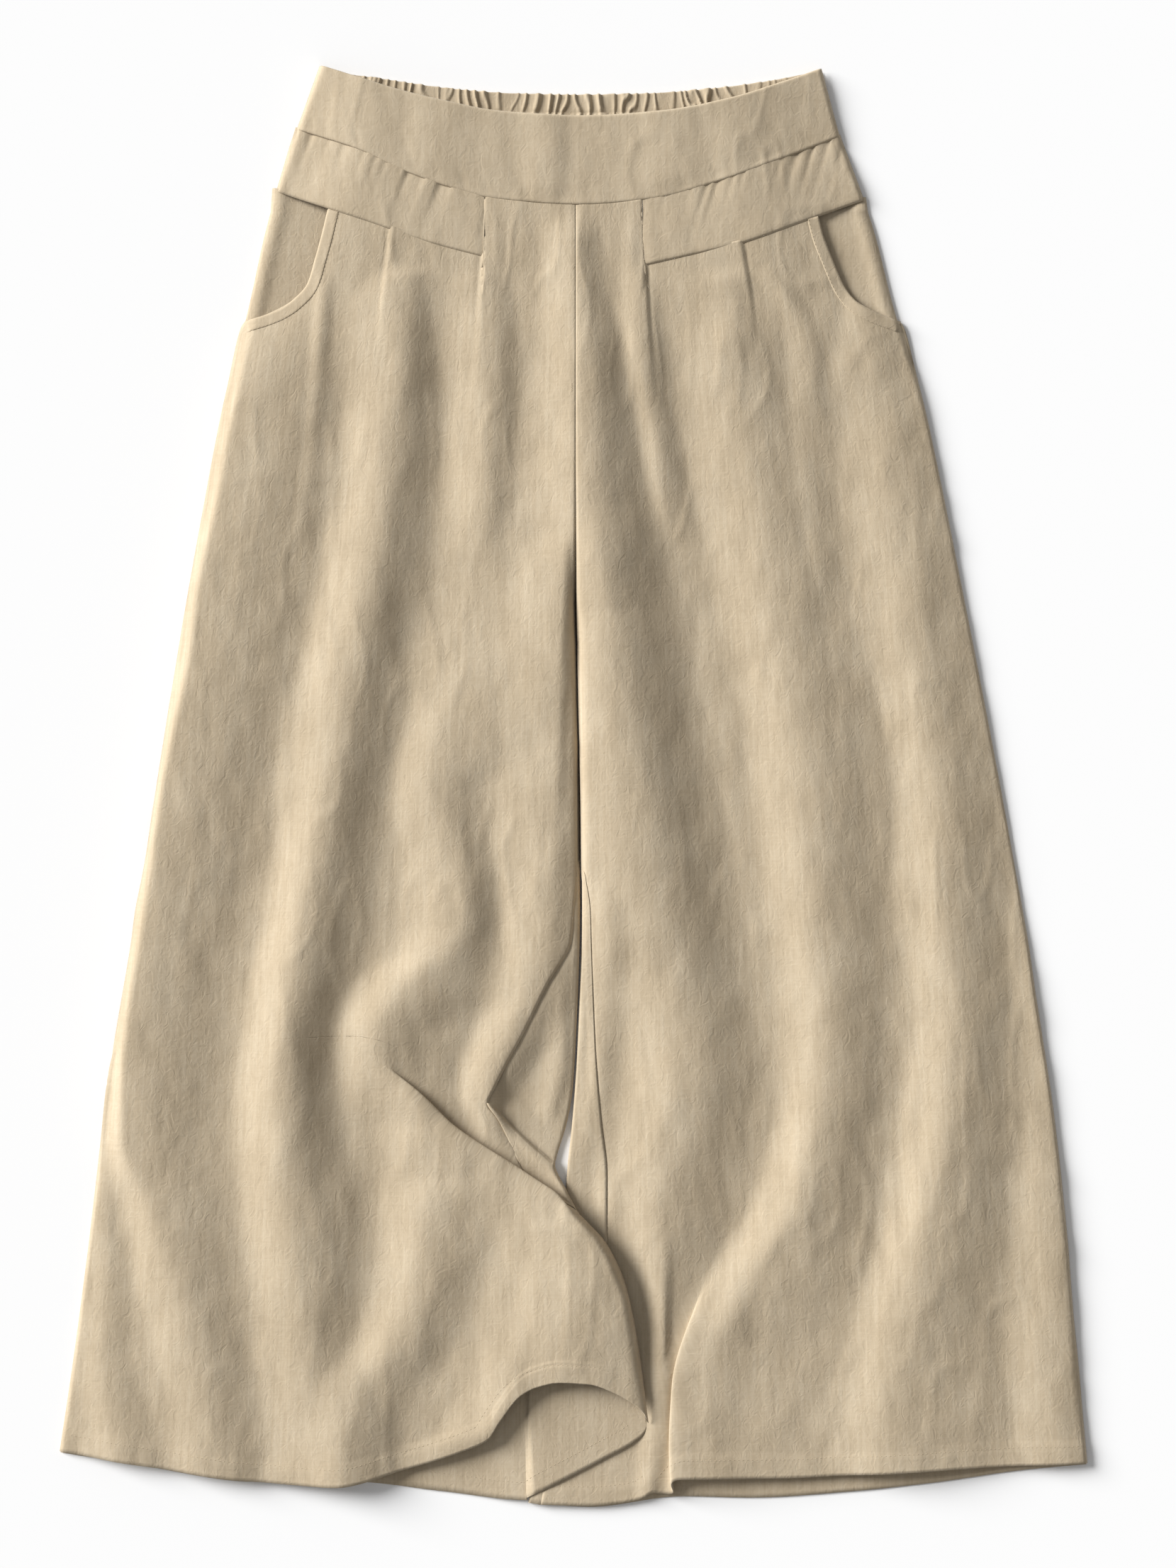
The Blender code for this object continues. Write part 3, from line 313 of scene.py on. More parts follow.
LEFT_FOLDS = {
    "front_long": (
        (190, 18, 0, 24, 46), (148, 20, 5.0, 30, 52), (100, 30, 8.0, 46, 54), (52, 36, 8.8, 56, 54),
        (4, 45, 9.2, 66, 54), (-44, 52, 9.4, 72, 58), (-92, 60, 9.6, 72, 58),
        (-140, 73, 8.0, 56, 52), (-188, 77, 8.0, 54, 58), (-236, 68, 7.0, 50, 64),
        (-284, 60, 6.0, 38, 58), (-332, 62, 2.8, 26, 34), (-370, 63, 0, 16, 16)),
    "middle": (
        (328, 102, 1.5, 34, 22), (292, 107, 4.0, 42, 38), (244, 116, 4.6, 46, 48),
        (196, 124, 5.0, 46, 54), (148, 134, 5.7, 46, 54), (100, 141, 5.9, 44, 54),
        (52, 150, 6.4, 42, 60), (4, 156, 6.6, 40, 63), (-44, 161, 6.7, 42, 58),
        (-92, 165, 6.9, 40, 56), (-140, 170, 6.8, 37, 54), (-188, 172, 6.7, 37, 52),
        (-236, 164, 6.8, 33, 54), (-284, 152, 7.0, 37, 63), (-332, 124, 5.8, 38, 94),
        (-380, 108, 3.4, 31, 96), (-428, 108, 2.4, 38, 83), (-480, 108, 2.0, 38, 81)),
    "pleat_inner": (
        (335, 44, 1, 14, 18), (292, 46, 3, 16, 20), (244, 54, 2.6, 14, 18),
        (196, 62, 2.0, 14, 20), (163, 71, 0, 14, 22)),
    "pleat_outer": (
        (345, 132, 1.0, 12, 12), (316, 152, 1.1, 18, 14), (292, 160, 1.1, 20, 12),
        (244, 157, 1.1, 14, 18), (196, 160, 0.8, 12, 20), (115, 172, 0, 12, 22)),
    "outer": (
        (340, 195, 1.5, 12, 14), (292, 200, 2.6, 26, 34), (244, 213, 3.4, 38, 44),
        (196, 218, 4.2, 42, 48), (148, 228, 4.6, 44, 44), (100, 234, 5.0, 42, 44),
        (52, 240, 5.1, 35, 49), (4, 248, 5.4, 35, 47), (-44, 250, 5.8, 38, 51),
        (-92, 254, 6.0, 38, 49), (-140, 259, 6.1, 38, 51), (-188, 257, 6.4, 38, 53),
        (-236, 252, 6.6, 38, 57), (-284, 243, 6.6, 38, 64), (-332, 232, 6.6, 40, 70),
        (-380, 222, 6.0, 44, 74), (-428, 216, 5.6, 49, 83), (-475, 222, 4.6, 49, 76)),
    "outer_hem": (
        (-60, 300, 0, 20, 30), (-140, 312, 1.2, 22, 30), (-236, 318, 1.8, 24, 30),
        (-284, 322, 2.6, 32, 30), (-332, 324, 3.0, 34, 30), (-380, 325, 3.0, 36, 32),
        (-462, 330, 2.8, 36, 30)),
    "inner_left": (
        (-63, 19, 0, 12, 14), (-92, 22, 1.6, 14, 15), (-140, 23, 1.6, 15, 17),
        (-188, 18, 1.5, 13, 18), (-236, 11, 1, 12, 20), (-274, 11, 0, 12, 20)),
}
# A narrow fold in the valley between the turned corner and the left front's lap.
VALLEY_FOLD = (
    (-296, 57, 0, 18, 10), (-332, 60, 2.0, 18, 8), (-370, 60.5, 3.0, 17, 5), (-404, 58.5, 3.2, 16, 5),
    (-442, 56, 2.8, 15, 6), (-486, 51, 1.6, 14, 7),
)
# The free edge of the turned corner: y, x.
FLAP_EDGE = ((-288, 3), (-308, 21), (-332, 33), (-346, 38), (-391, 45), (-430, 50), (-484, 50))

# Rows of the right back: y at the side, the inner edge, the seam that is wrapped over the inner
# edge, and how far it is wrapped (0 to 1).
RIGHT_BACK_ROWS = (
    (430, 1.0, 412, -4, 412, 0), (264, 0.8, 264, -4, 264, 0), (120, 0.6, 124, -4, 124, 0),
    (-10, 3.6, -10, -2, -10, 0), (-42, 3.9, -42, -1.0, -42, 0), (-49, 4.0, -49, 1.0, -49, 0.5),
    (-56, 4.0, -56, 2.6, -56, 1), (-85, 4.2, -80, 0.2, -80, 1),
    (-108, 3.9, -104, -1.3, -104, 1), (-132, 3.0, -134, -17.7, -134, 1),
    (-155, 1.6, -163, -32.7, -165, 1), (-172, 0.4, -186, -45.7, -189, 1),
    (-184, -1.0, -206, -52.7, -203, 1), (-200, -5.0, -228, -57.2, -212, 1),
    (-215, -10.5, -246, -57.5, -213.4, 1), (-225, -12.8, -255, -57, -214.8, 1),
    (-235, -12.8, -257, -55.5, -217.5, 1), (-245, -11.5, -261, -50.5, -224, 1),
    (-253, -9.0, -266, -44.3, -236, 1), (-263, -5.5, -272, -38.5, -249, 1),
    (-270, -3.5, -276.5, -33, -261, 1), (-276, -1.5, -280, -14, -272.5, 1),
    (-285, 3.5, -289, -1.5, -289, 0.5),
    (-295, 9.5, -296, 4.5, -296, 0), (-330, 31, -330, 26, -330, 0), (-400, 45, -400, 40, -400, 0),
    (-430, 49, -425, 44, -425, 0), (-451, 50, -431, 45, -431, 0),
)
# The same for the left back.
LEFT_BACK_ROWS = (
    (430, 1.6, 412, 6, 412, 0), (264, 1.6, 264, 6, 264, 0), (120, 2.2, 124, 7, 124, 0),
    (-10, 4.6, -10, 10, -10, 0), (-46, 5.1, -46, 10, -46, 0), (-54, 5.2, -54, 8, -54, 0.5),
    (-61, 5.2, -61, 6.2, -61, 1), (-82, 5.3, -82, 9.2, -82, 1),
    (-105, 5.0, -105, 9.9, -105, 1), (-140, 3.7, -140, 11.1, -140, 1),
    (-185, 1.7, -185, 13.2, -185, 1), (-226, -1.2, -226, 16.7, -226, 1),
    (-264, -5.0, -264, 20.7, -264, 1), (-305, -7, -305, 20.7, -305, 1),
    (-350, -10, -350, 14.7, -350, 1), (-395, -15, -395, 4.7, -395, 1),
    (-435, -23, -440, -10.5, -440, 1), (-459, -31, -485, -24.3, -486, 1),
)
# The strip goes past the inseam by its lap: under the right front, but over the left front's
# edge. Below CORNER_BELOW the right front's turned corner hides the inseam.
SEAM_LAP = 1.6
SEAM_RISE = 0.3
SEAM_SINK = 0.45
CORNER_BELOW = -285.0
BACK_TOP_ROW = (430.0, 412.0)
UNDER_BAND = 1.5
WRAP_ROUND_RIGHT = 2.4
WRAP_ROUND_LEFT = 1.6
INNER_CURL = 5.0
LEFT_CURL = 0.55
BACK_PLEAT = 4.2
PLEAT_RUN = 10.0
SIDE_INSET = 0.2
RIGHT_BACK_COLUMNS = 90
LEFT_BACK_COLUMNS = 70
LEFT_BACK_STEP = 4.5
ARC_POINTS = 10
RIGHT_STRIP_POINTS = 18
LEFT_STRIP_POINTS = 12
BACK_CREASES = 0.22


def smooth(share):
    """An even ease from 0 to 1."""
    share = np.clip(share, 0.0, 1.0)
    return share * share * (3.0 - 2.0 * share)


def ease(at, start, run):
    """From 0 at the start to 1 a run further on; a negative run goes the other way."""
    return smooth((at - start) / run)


def quarter(gap):
    """A quarter round: 0 at an edge of cloth, 1 from its width on."""
    return np.sqrt(1 - (1 - np.clip(gap, 0.0, 1.0)) ** 2)


def through(knots, values, at):
    """A smooth curve through the rows of a table that never swings past them."""
    knots = np.asarray(knots, float)
    values = np.asarray(values, float)
    if knots[0] > knots[-1]:
        knots, values = knots[::-1], values[::-1]
    span = np.diff(knots)
    chord = np.diff(values) / span
    product = chord[:-1] * chord[1:]
    total = chord[:-1] + chord[1:]
    inner = np.where(product > 0, 2 * product / np.where(total == 0, 1, total), 0.0)
    slopes = np.concatenate((chord[:1], inner, chord[-1:]))
    at = np.clip(at, knots[0], knots[-1])
    row = np.clip(np.searchsorted(knots, at) - 1, 0, len(knots) - 2)
    width = span[row]
    t = (at - knots[row]) / width
    start = (1 + 2 * t) * (1 - t) ** 2 * values[row] + t * (1 - t) ** 2 * width * slopes[row]
    end = t * t * (3 - 2 * t) * values[row + 1] + t * t * (t - 1) * width * slopes[row + 1]
    return start + end


def column(table, index, at):
    """Column `index` of a table whose first column is the place along it."""
    rows = np.asarray(table, float)
    return through(rows[:, 0], rows[:, index], at)


def crumple(x, y, across, along, seed):
    """Smooth random relief, about -1 to 1, with grains of the size given."""
    lattice = np.random.default_rng(seed).uniform(-1, 1, (97, 97))
    gx = np.nan_to_num(np.asarray(x)) / across + 500.0
    gy = np.nan_to_num(np.asarray(y)) / along + 500.0
    i, j = np.floor(gx).astype(int), np.floor(gy).astype(int)
    fx, fy = smooth(gx - i), smooth(gy - j)
    i, j, k, m = i % 97, j % 97, (i + 1) % 97, (j + 1) % 97
    low = lattice[i, j] * (1 - fx) + lattice[k, j] * fx
    high = lattice[i, m] * (1 - fx) + lattice[k, m] * fx
    return low * (1 - fy) + high * fy


def wash_creases(x, y):
    """The small unevenness that washing leaves: soft dents and a few longer, sharper creases."""
    soft = 0.34 * crumple(x, y, 13, 24, 11) + 0.20 * crumple(x + y * 0.2, y, 7, 12, 12)
    bent = x + 5 * crumple(x, y, 30, 40, 13)
    sharp = 1 - np.abs(crumple(bent, y, 17, 46, 14)) * 3.2
    return soft + 0.42 * np.maximum(sharp, 0.0) * smooth(0.5 + crumple(x, y, 40, 60, 15))


def ridge(stations, x, y):
    """Height of one fold above the cloth round it, a rounded ridge along its crest."""
    away = x - column(stations, 1, y)
    height = np.maximum(column(stations, 2, y), 0.0)
    run = np.where(away < 0, column(stations, 3, y), column(stations, 4, y))
    return height * np.cos(np.clip(away / run, -1.0, 1.0) * math.pi / 2) ** 2


def folds(tables, x, y):
    """Height of all the folds of one leg together."""
    return sum(ridge(stations, x, y) for table in tables for stations in table.values())


def yoke_seam(x):
    """The upper edge of the leg fronts: under the yokes, and at the waistband between them."""
    right = through(*zip(*YOKE_EDGE_RIGHT), x)
    left = through(*zip(*YOKE_EDGE_LEFT), x)
    middle = through(*zip(*WAIST_SEAM), x)
    return np.where(x < YOKE_ENDS[0], right, np.where(x > YOKE_ENDS[1], left, middle))


def fold_ease(x, y):
    """The folds begin below the yokes, and stay clear of the yokes' inner ends."""
    below = ease(yoke_seam(x) - y, 0, 25)
    beside = ease(np.minimum(x - YOKE_ENDS[0] - 1.5, YOKE_ENDS[1] - 1.0 - x), 0, 9)
    between = ease(y, 340, 15)
    return below * (1 - between * (1 - beside))


def bed(x, y):
    """Middle of the front's cloth where no fold lifts it, above the table."""
    right, left = x - column(SIDE, 1, y), column(SIDE, 2, y) - x
    hips = STACK * ease(y, 240, 70)
    air = AIR_BODY + AIR_WAIST * ease(y, 180, 200)
    return FRONT_MID + hips + air * ease(right, 0, 60) * ease(left, 0, 90)


def inner_curl(x, y, leg, lowest, share):
    """The cloth curls down to the inner edge of a leg, below the crotch."""
    gap = np.abs(x - np.where(y > CROTCH, SEAM_X, column(INNER, leg, y)))
    down = share * (1 - quarter(gap / INNER_CURL))
    return 1 - down * ease(y, 150, -40) * ease(y, lowest, 25)


def front_seam(x, y):
    """The shallow groove of the seam at the middle of the front."""
    return GROOVE * np.exp(-((x - SEAM_X) / 1.3) ** 2) * ease(y, CROTCH - 6, 12)


def climb(x, y):
    """Lift of the right leg where its turned corner lies on the left leg."""
    start = column(PLEAT_LINE, 1, y) - 40
    return LEG_OVER_LEG * ease(x, start, 60) * ease(y, -258, -20)


def right_height(x, y):
    """Middle of the right front, apart from the turn of the twist."""
    lift = bed(x, y) - FRONT_MID
    lift = lift + FULLNESS * fold_ease(x, y) * folds((RIGHT_FOLDS, CENTRE_FOLDS), x, y)
    return FRONT_MID + lift * inner_curl(x, y, 1, -285, 1.0) - front_seam(x, y)


def flap_cover(x, y):
    """Where the turned corner keeps the left leg flat: 1 under it, 0 well clear of it."""
    return ease(y, -235, -40) * ease(x, column(FLAP_EDGE, 1, y) + 21, -14)


def left_height(x, y):
    """Middle of the left front, apart from its lap."""
    covered = flap_cover(x, y)
    lift = bed(x, y) - FRONT_MID
    lift = lift + FULLNESS * fold_ease(x, y) * folds((LEFT_FOLDS, CENTRE_FOLDS), x, y)
    lift = lift * inner_curl(x, y, 2, -600, LEFT_CURL)
    valley = ridge(VALLEY_FOLD, x, y) * ease(y, -296, -20)
    return FRONT_MID + lift * (1 - covered) + AIR_EDGE * covered + valley - front_seam(x, y)


def band_edge(x):
    """The lower edge of the gathered back waistband."""
    share = (x - BAND_LOW[0]) / (BAND_LOW[1] - BAND_LOW[0])
    top_x = BAND_HIGH[0] + (BAND_HIGH[1] - BAND_HIGH[0]) * share
    return through(*zip(*BACK_TOP), top_x) - BAND_DEPTH


def bend(curve, x, start, end):
    """How far a curve departs from the straight line between two of its places."""
    share = (x - start) / (end - start)
    ends = (through(*zip(*curve), start), through(*zip(*curve), end))
    return through(*zip(*curve), x) - ends[0] * (1 - share) - ends[1] * share


def finer(table, step, ends, extra=None):
    """The rows of a table with more between them, no further apart than a step at either end."""
    rows = np.asarray(table, float)
    apart = np.max([np.hypot(np.diff(rows[:, a]), np.diff(rows[:, b])) for a, b in ends], axis=0)
    if extra is not None:
        apart = np.maximum(apart, np.abs(np.diff(rows[:, extra])) * 2.4)
    counts = np.maximum(np.ceil(apart / step).astype(int), 1)
    places = np.concatenate([i + np.arange(n) / n for i, n in enumerate(counts)] + [[len(rows) - 1]])
    index = np.arange(len(rows))
    return np.array([through(index, rows[:, c], places) for c in range(rows.shape[1])]).T


def wrapped(inner, seam, amount, radius, side, floor_height, top_height, strip_points):
    """The edge of a back panel that turns over the inner edge of its leg, up to the inseam."""
    edge = inner[0] - side * SHELL / 2
    angle = math.pi * amount
    length = math.hypot(seam[0] - edge + side * radius, seam[1] - inner[1])
    turn_x = edge - side * (radius * math.sin(min(angle, math.pi / 2))
                            + length * max(math.cos(angle), 0.0))
    flat_run = (1 - amount) * math.pi * radius
    floor_z = floor_height(edge - side * radius, inner[1])
    lift = (top_height(edge - side * radius, inner[1]) - floor_z) / 2
    points = []
    for j in range(ARC_POINTS + 1):
        along = math.pi * radius * j / ARC_POINTS
        turned = max(along - flat_run, 0.0) / radius
        x = turn_x + side * (min(along - flat_run, 0.0) + radius * math.sin(turned))
        points.append((x, inner[1], floor_z + lift * (1 - math.cos(turned))))
    end_x, end_z = points[-1][0], points[-1][2]
    share = np.arange(1, strip_points + 1) / strip_points
    y = inner[1] + (seam[1] - inner[1]) * share
    if amount < 1:
        run = length * share
        flats = np.stack((end_x + side * math.cos(angle) * run, y, end_z + math.sin(angle) * run), 1)
    else:
        x = end_x + (seam[0] - end_x) * share
        flats = np.stack((x, y, top_height(x, y)), 1)
    return np.concatenate((np.array(points), flats))


def roll_dip(x, y):
    """How far the right back sinks behind the roll of the twist, and how the roll bulges."""
    above = (y - through(*zip(*ROLL_EDGE), x)) * 0.75
    along = ease(x, -60, 12) * ease(x, 6, -20)
    sunk = ROLL_DIP * ease(above, -0.7, 1.4) * (1 - 0.85 * ease(above, 3, 26))
    bulge = ROLL_BULGE * np.exp(-((above + 3.5) / 3.5) ** 2) * (above < 0.7)
    return along * (sunk - bulge)


def right_back_grid():
    grid = []
    top_side, top_inner = BACK_TOP_ROW
    for row in finer(RIGHT_BACK_ROWS, STEP, ((1, 2), (3, 4))):
        side_y, inner_x, inner_y, seam_x, seam_y = row[:5]
        amount = round(row[5], 6)

        def top_height(x, y):
            base = right_height(x, y) + climb(x, y)
            under = np.clip(1 - np.hypot(x - seam_x, y - seam_y) / 4, 0, 1)
            dipped = base - roll_dip(x, y) * (amount == 1) - SEAM_SINK * under
            return np.maximum(dipped, FRONT_MID + AIR_EDGE)

        def floor_height(x, y):
            return BACK_MID + float(climb(x, y))

        over = wrapped((inner_x, inner_y), (seam_x - SEAM_LAP * (amount == 1), seam_y), amount,
                       WRAP_ROUND_RIGHT, 1, floor_height, top_height, RIGHT_STRIP_POINTS)
        if inner_y < CORNER_BELOW:
            over[-RIGHT_STRIP_POINTS:] = np.nan
            over[:, 0] += inner_x - SHELL / 2 - np.nanmax(over[:, 0])
        side_x = column(SIDE, 1, side_y) + SIDE_INSET
        hem = ease(inner_y, -400, -30)
        over[:, 1] += hem * bend(HEM_RIGHT_BACK, np.minimum(over[:, 0], inner_x), side_x, inner_x)
        x = np.linspace(side_x, over[0, 0], RIGHT_BACK_COLUMNS)[:-1]
        share = (x - side_x) / (inner_x - side_x)
        y = side_y + (inner_y - side_y) * share
        top = band_edge(x) + UNDER_BAND - top_side - (top_inner - top_side) * share
        y = y + ease(inner_y, 300, 110) * top
        y = y + hem * bend(HEM_RIGHT_BACK, x, side_x, inner_x)
        pleat = np.clip((x - column(PLEAT_LINE, 1, y)) / PLEAT_RUN, -1, 1)
        shift = -BACK_PLEAT * np.sin(np.pi * pleat) * ease(y, -385, -25)
        floor = np.stack((x + shift, y, BACK_MID + climb(x, y)), axis=1)
        grid.append(np.concatenate((floor, over)))
    return np.array(grid)


def left_back_grid():
    grid = []
    top_side, top_inner = BACK_TOP_ROW
    for row in finer(LEFT_BACK_ROWS, LEFT_BACK_STEP, ((1, 2), (3, 4))):
        side_y, inner_x, inner_y, seam_x, seam_y = row[:5]
        amount = round(row[5], 6)

        def top_height(x, y):
            return left_height(x, y) + SEAM_RISE * ease(x, seam_x - 4, 3)

        over = wrapped((inner_x, inner_y), (seam_x + SEAM_LAP * (amount == 1), seam_y), amount,
                       WRAP_ROUND_LEFT, -1, lambda x, y: BACK_MID, top_height, LEFT_STRIP_POINTS)
        side_x = column(SIDE, 2, side_y) - SIDE_INSET
        x = np.linspace(over[0, 0], side_x, LEFT_BACK_COLUMNS)[1:]
        share = (x - inner_x) / (side_x - inner_x)
        y = side_y * share + inner_y * (1 - share)
        top = band_edge(x) + UNDER_BAND - top_inner - (top_side - top_inner) * share
        y = y + ease(inner_y, 300, 110) * top
        y = y + ease(inner_y, -400, -80) * bend(HEM_LEFT_BACK, x, inner_x, side_x)
        floor = np.stack((x, y, x * 0 + BACK_MID), axis=1)
        grid.append(np.concatenate((over[::-1], floor)))
    return np.array(grid)


def laid_cloth(name, grid, cloth_places, material, thickness=SHELL):
    """A piece of cloth as a grid of points in its middle, with a thin shell's thickness.

    Blank points are left out. cloth_places gives the same grid's places on the flat cloth.
    """
    rows, columns = grid.shape[:2]
    points = grid.reshape(-1, 3)
    present = ~np.isnan(points[:, 0])
    number = np.cumsum(present) - 1
    index = np.arange(rows * columns).reshape(rows, columns)
    corners = np.stack((index[:-1, :-1], index[:-1, 1:], index[1:, 1:], index[1:, :-1]), -1)
    corners = corners.reshape(-1, 4)
    corners = corners[present[corners].all(axis=1)]
    used = points[present] * MM
    faces = number[corners]
    a, b, c = used[faces[:, 0]], used[faces[:, 1]], used[faces[:, 3]]
    if np.cross(b - a, c - a)[:, 2].sum() < 0:
        faces, corners = faces[:, ::-1], corners[:, ::-1]
    mesh = bpy.data.meshes.new(name)
    mesh.from_pydata(used.tolist(), [], faces.tolist())
    layer = mesh.uv_layers.new(name="cloth")
    places = cloth_places.reshape(-1, 2)[corners.reshape(-1)] * MM
    layer.data.foreach_set("uv", places.astype(np.float32).ravel())
    mesh.polygons.foreach_set("use_smooth", np.ones(len(faces), bool))
    mesh.update()
    piece = bpy.data.objects.new(name, mesh)
    collection.objects.link(piece)
    piece.data.materials.append(material)
    wall = piece.modifiers.new("thickness", "SOLIDIFY")
    wall.thickness = thickness * MM
    wall.offset = 0.0
    wall.use_even_offset = False
    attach(piece, "root")
    return piece


def plan_places(grid, shift):
    """Places on the cloth for a piece that lies nearly flat, each cut from another part of it."""
    return grid[..., :2] + shift


def roughened(grid, amount):
    """The grid with the wash creases in it."""
    rough = grid.copy()
    rough[..., 2] += amount * wash_creases(grid[..., 0], grid[..., 1])
    return rough


right_back = right_back_grid()
right_back_piece = laid_cloth("right_leg_back", roughened(right_back, BACK_CREASES),
                              plan_places(right_back, 900), leg_linen)
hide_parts("back_right")
left_back = left_back_grid()
left_back_piece = laid_cloth("left_leg_back", roughened(left_back, BACK_CREASES),
                             plan_places(left_back, 2100), leg_linen)
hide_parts("back_left")


# ---- Back waistband --------------------------------------------------------------------------
# A folded band of the same linen with a wide elastic inside, which draws it into nearly fifty
# sharp gathers. It is sewn to the leg backs below and to the front waistband at the sides.
GATHERS = 46
GATHER_COLUMNS = 14
GATHER_LOW = 1.2
GATHER_RISE = 1.7
GATHER_SCALLOP = 0.35
BAND_WIDTH = 340.0
FINE_DEPTH = 16.0
ELASTIC_STITCH = 12.5


def gathered_band_grid():
    share = np.linspace(0, 1, GATHERS * GATHER_COLUMNS + 1)
    across = share * BAND_WIDTH
    top_x = BAND_HIGH[0] + (BAND_HIGH[1] - BAND_HIGH[0]) * share
    low_x = BAND_LOW[0] + (BAND_LOW[1] - BAND_LOW[0]) * share
    top_y = through(*zip(*BACK_TOP), top_x)
    edge = ease(np.minimum(share, 1 - share) * BAND_WIDTH, 8, 40)
    grid = []
    for down in np.concatenate((np.linspace(0, FINE_DEPTH, 20),
                                np.linspace(FINE_DEPTH + 1.5, BAND_DEPTH, 14))):
        v = down / BAND_DEPTH
        wander = 0.55 * crumple(across, down, 11, 14, 31) + 0.30 * crumple(across, down, 5, 18, 32)
        turn = GATHERS * share + wander
        part = turn - np.floor(turn)
        lobe = part ** 1.6 * (1 - ease(part, 0.80, 0.20))
        lobe = lobe + 0.55 * np.exp(-((part - 0.76) / 0.10) ** 2)
        size = 0.70 + 0.45 * crumple(across, down * 0.3, 9, 30, 33)
        stitched = 1 - 0.5 * np.exp(-((down - ELASTIC_STITCH) / 1.3) ** 2)
        small = 0.5 * np.abs(np.sin(np.pi * turn * 2.3)) * ease(down, ELASTIC_STITCH, 2)
        height = GATHER_LOW + edge * (GATHER_RISE * lobe * size * stitched * (1 - 0.35 * v) + small)
        scallop = GATHER_SCALLOP * edge * (lobe - 0.5) * np.exp(-down / 4)
        x = top_x + (low_x - top_x) * v
        grid.append(np.stack((x, top_y - down + scallop, height), axis=1))
    return np.array(grid)


band_back = gathered_band_grid()
band_back_piece = laid_cloth("gathered_waistband", band_back, plan_places(band_back, 3300) * (1.5, 1),
                             band_linen)
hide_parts("waistband_back")


# ---- Pocket facings --------------------------------------------------------------------------
# The piece of linen behind each hip pocket's opening, sewn into the side seam and the yoke. It
# lies flat on the back, and the opening's shadow falls on it.
POCKET = ((390, -166, 164), (373, -170, 168), (355, -175, 175), (339, -180, 182), (328, -190, 190),
          (322, -199, 199), (318, -209, 209), (314, -223, 221))
FACING_UNDERLAP = 12.0
FACING_LOW = 0.9
FACING_RISE = 1.3
FACING_ROLL = 1.1
FACING_CREASES = 0.25
FACING_ROWS = np.linspace(388, 306, 34)
YOKE_LAP = 2.5


def facing_grid(side):
    index = 1 if side < 0 else 2
    edge = YOKE_EDGE_RIGHT if side < 0 else YOKE_EDGE_LEFT
    grid = []
    for y_row in np.concatenate(([392.0], FACING_ROWS)):
        outer = column(SIDE, index, y_row) - side * GAP
        inner = column(POCKET, index, np.maximum(y_row, 316)) - side * FACING_UNDERLAP
        x = np.linspace(outer, inner, 24)
        under_yoke = through(*zip(*edge), x) + YOKE_LAP
        y = np.minimum(y_row, under_yoke) if y_row <= FACING_ROWS[0] else under_yoke
        away = np.abs(x - outer)
        z = FACING_LOW + FACING_RISE * np.sqrt(np.clip(away / 5, 0, 1))
        z = z + FACING_ROLL * np.exp(-((away - 6) / 5) ** 2)
        grid.append(np.stack((x, y, z), axis=1))
    return np.array(grid)


for side, word in ((-1, "right"), (1, "left")):
    facing = facing_grid(side)
    facing_piece = laid_cloth(word + "_pocket_facing", roughened(facing, FACING_CREASES),
                              plan_places(facing, 4000 + 300 * side), leg_linen)
    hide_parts("pocket_facing_" + word)


# ---- Leg fronts ------------------------------------------------------------------------------
# Each front is one wide panel, pleated under its yoke and left to fall in long soft folds. The
# right leg is twisted at the knee so that its inner corner lies turned over the left leg, and
# the left front laps over its own inner part near the hem.
TURN = 10.0
TWIST_RISE = 8.0
TWIST_TUCK = 5.2
TUCKED = 6.0
LAP_RISE = 5.5
LAP_TUCK = 4.6
HEM_RIGHT_FRONT = ((-348, -450), (-293, -459), (-216, -470), (-163, -473), (-115, -462),
                   (-72, -448), (-58, -441), (-51, -430), (-36, -411), (-24, -405), (-10, -402),
                   (10, -403), (29, -410), (43, -419), (48, -424.5), (50, -430))
HEM_LEFT_FRONT = ((-24, -485), (11, -486), (34, -484), (46, -481), (53, -477), (60, -478),
                  (75, -467), (139, -467), (187, -465), (283, -460), (347, -458))
# The upper edge of the turned corner, from the knee fold to the flap: x, y.
TWIST = ((-316, -200), (-197, -184), (-149, -184), (-130, -188), (-82, -230), (-33, -262),
         (3, -288))
# Where the left front laps over its own inner part: y, x.
LAP_LINE = ((396, 46.6), (360, 48.3), (349, 48.9), (320, 50.5), (290, 52.5), (262, 55), (124, 80),
            (0, 100), (-140, 112), (-230, 116), (-284, 108), (-332, 91), (-370, 77), (-408, 67),
            (-447, 65), (-484, 67))
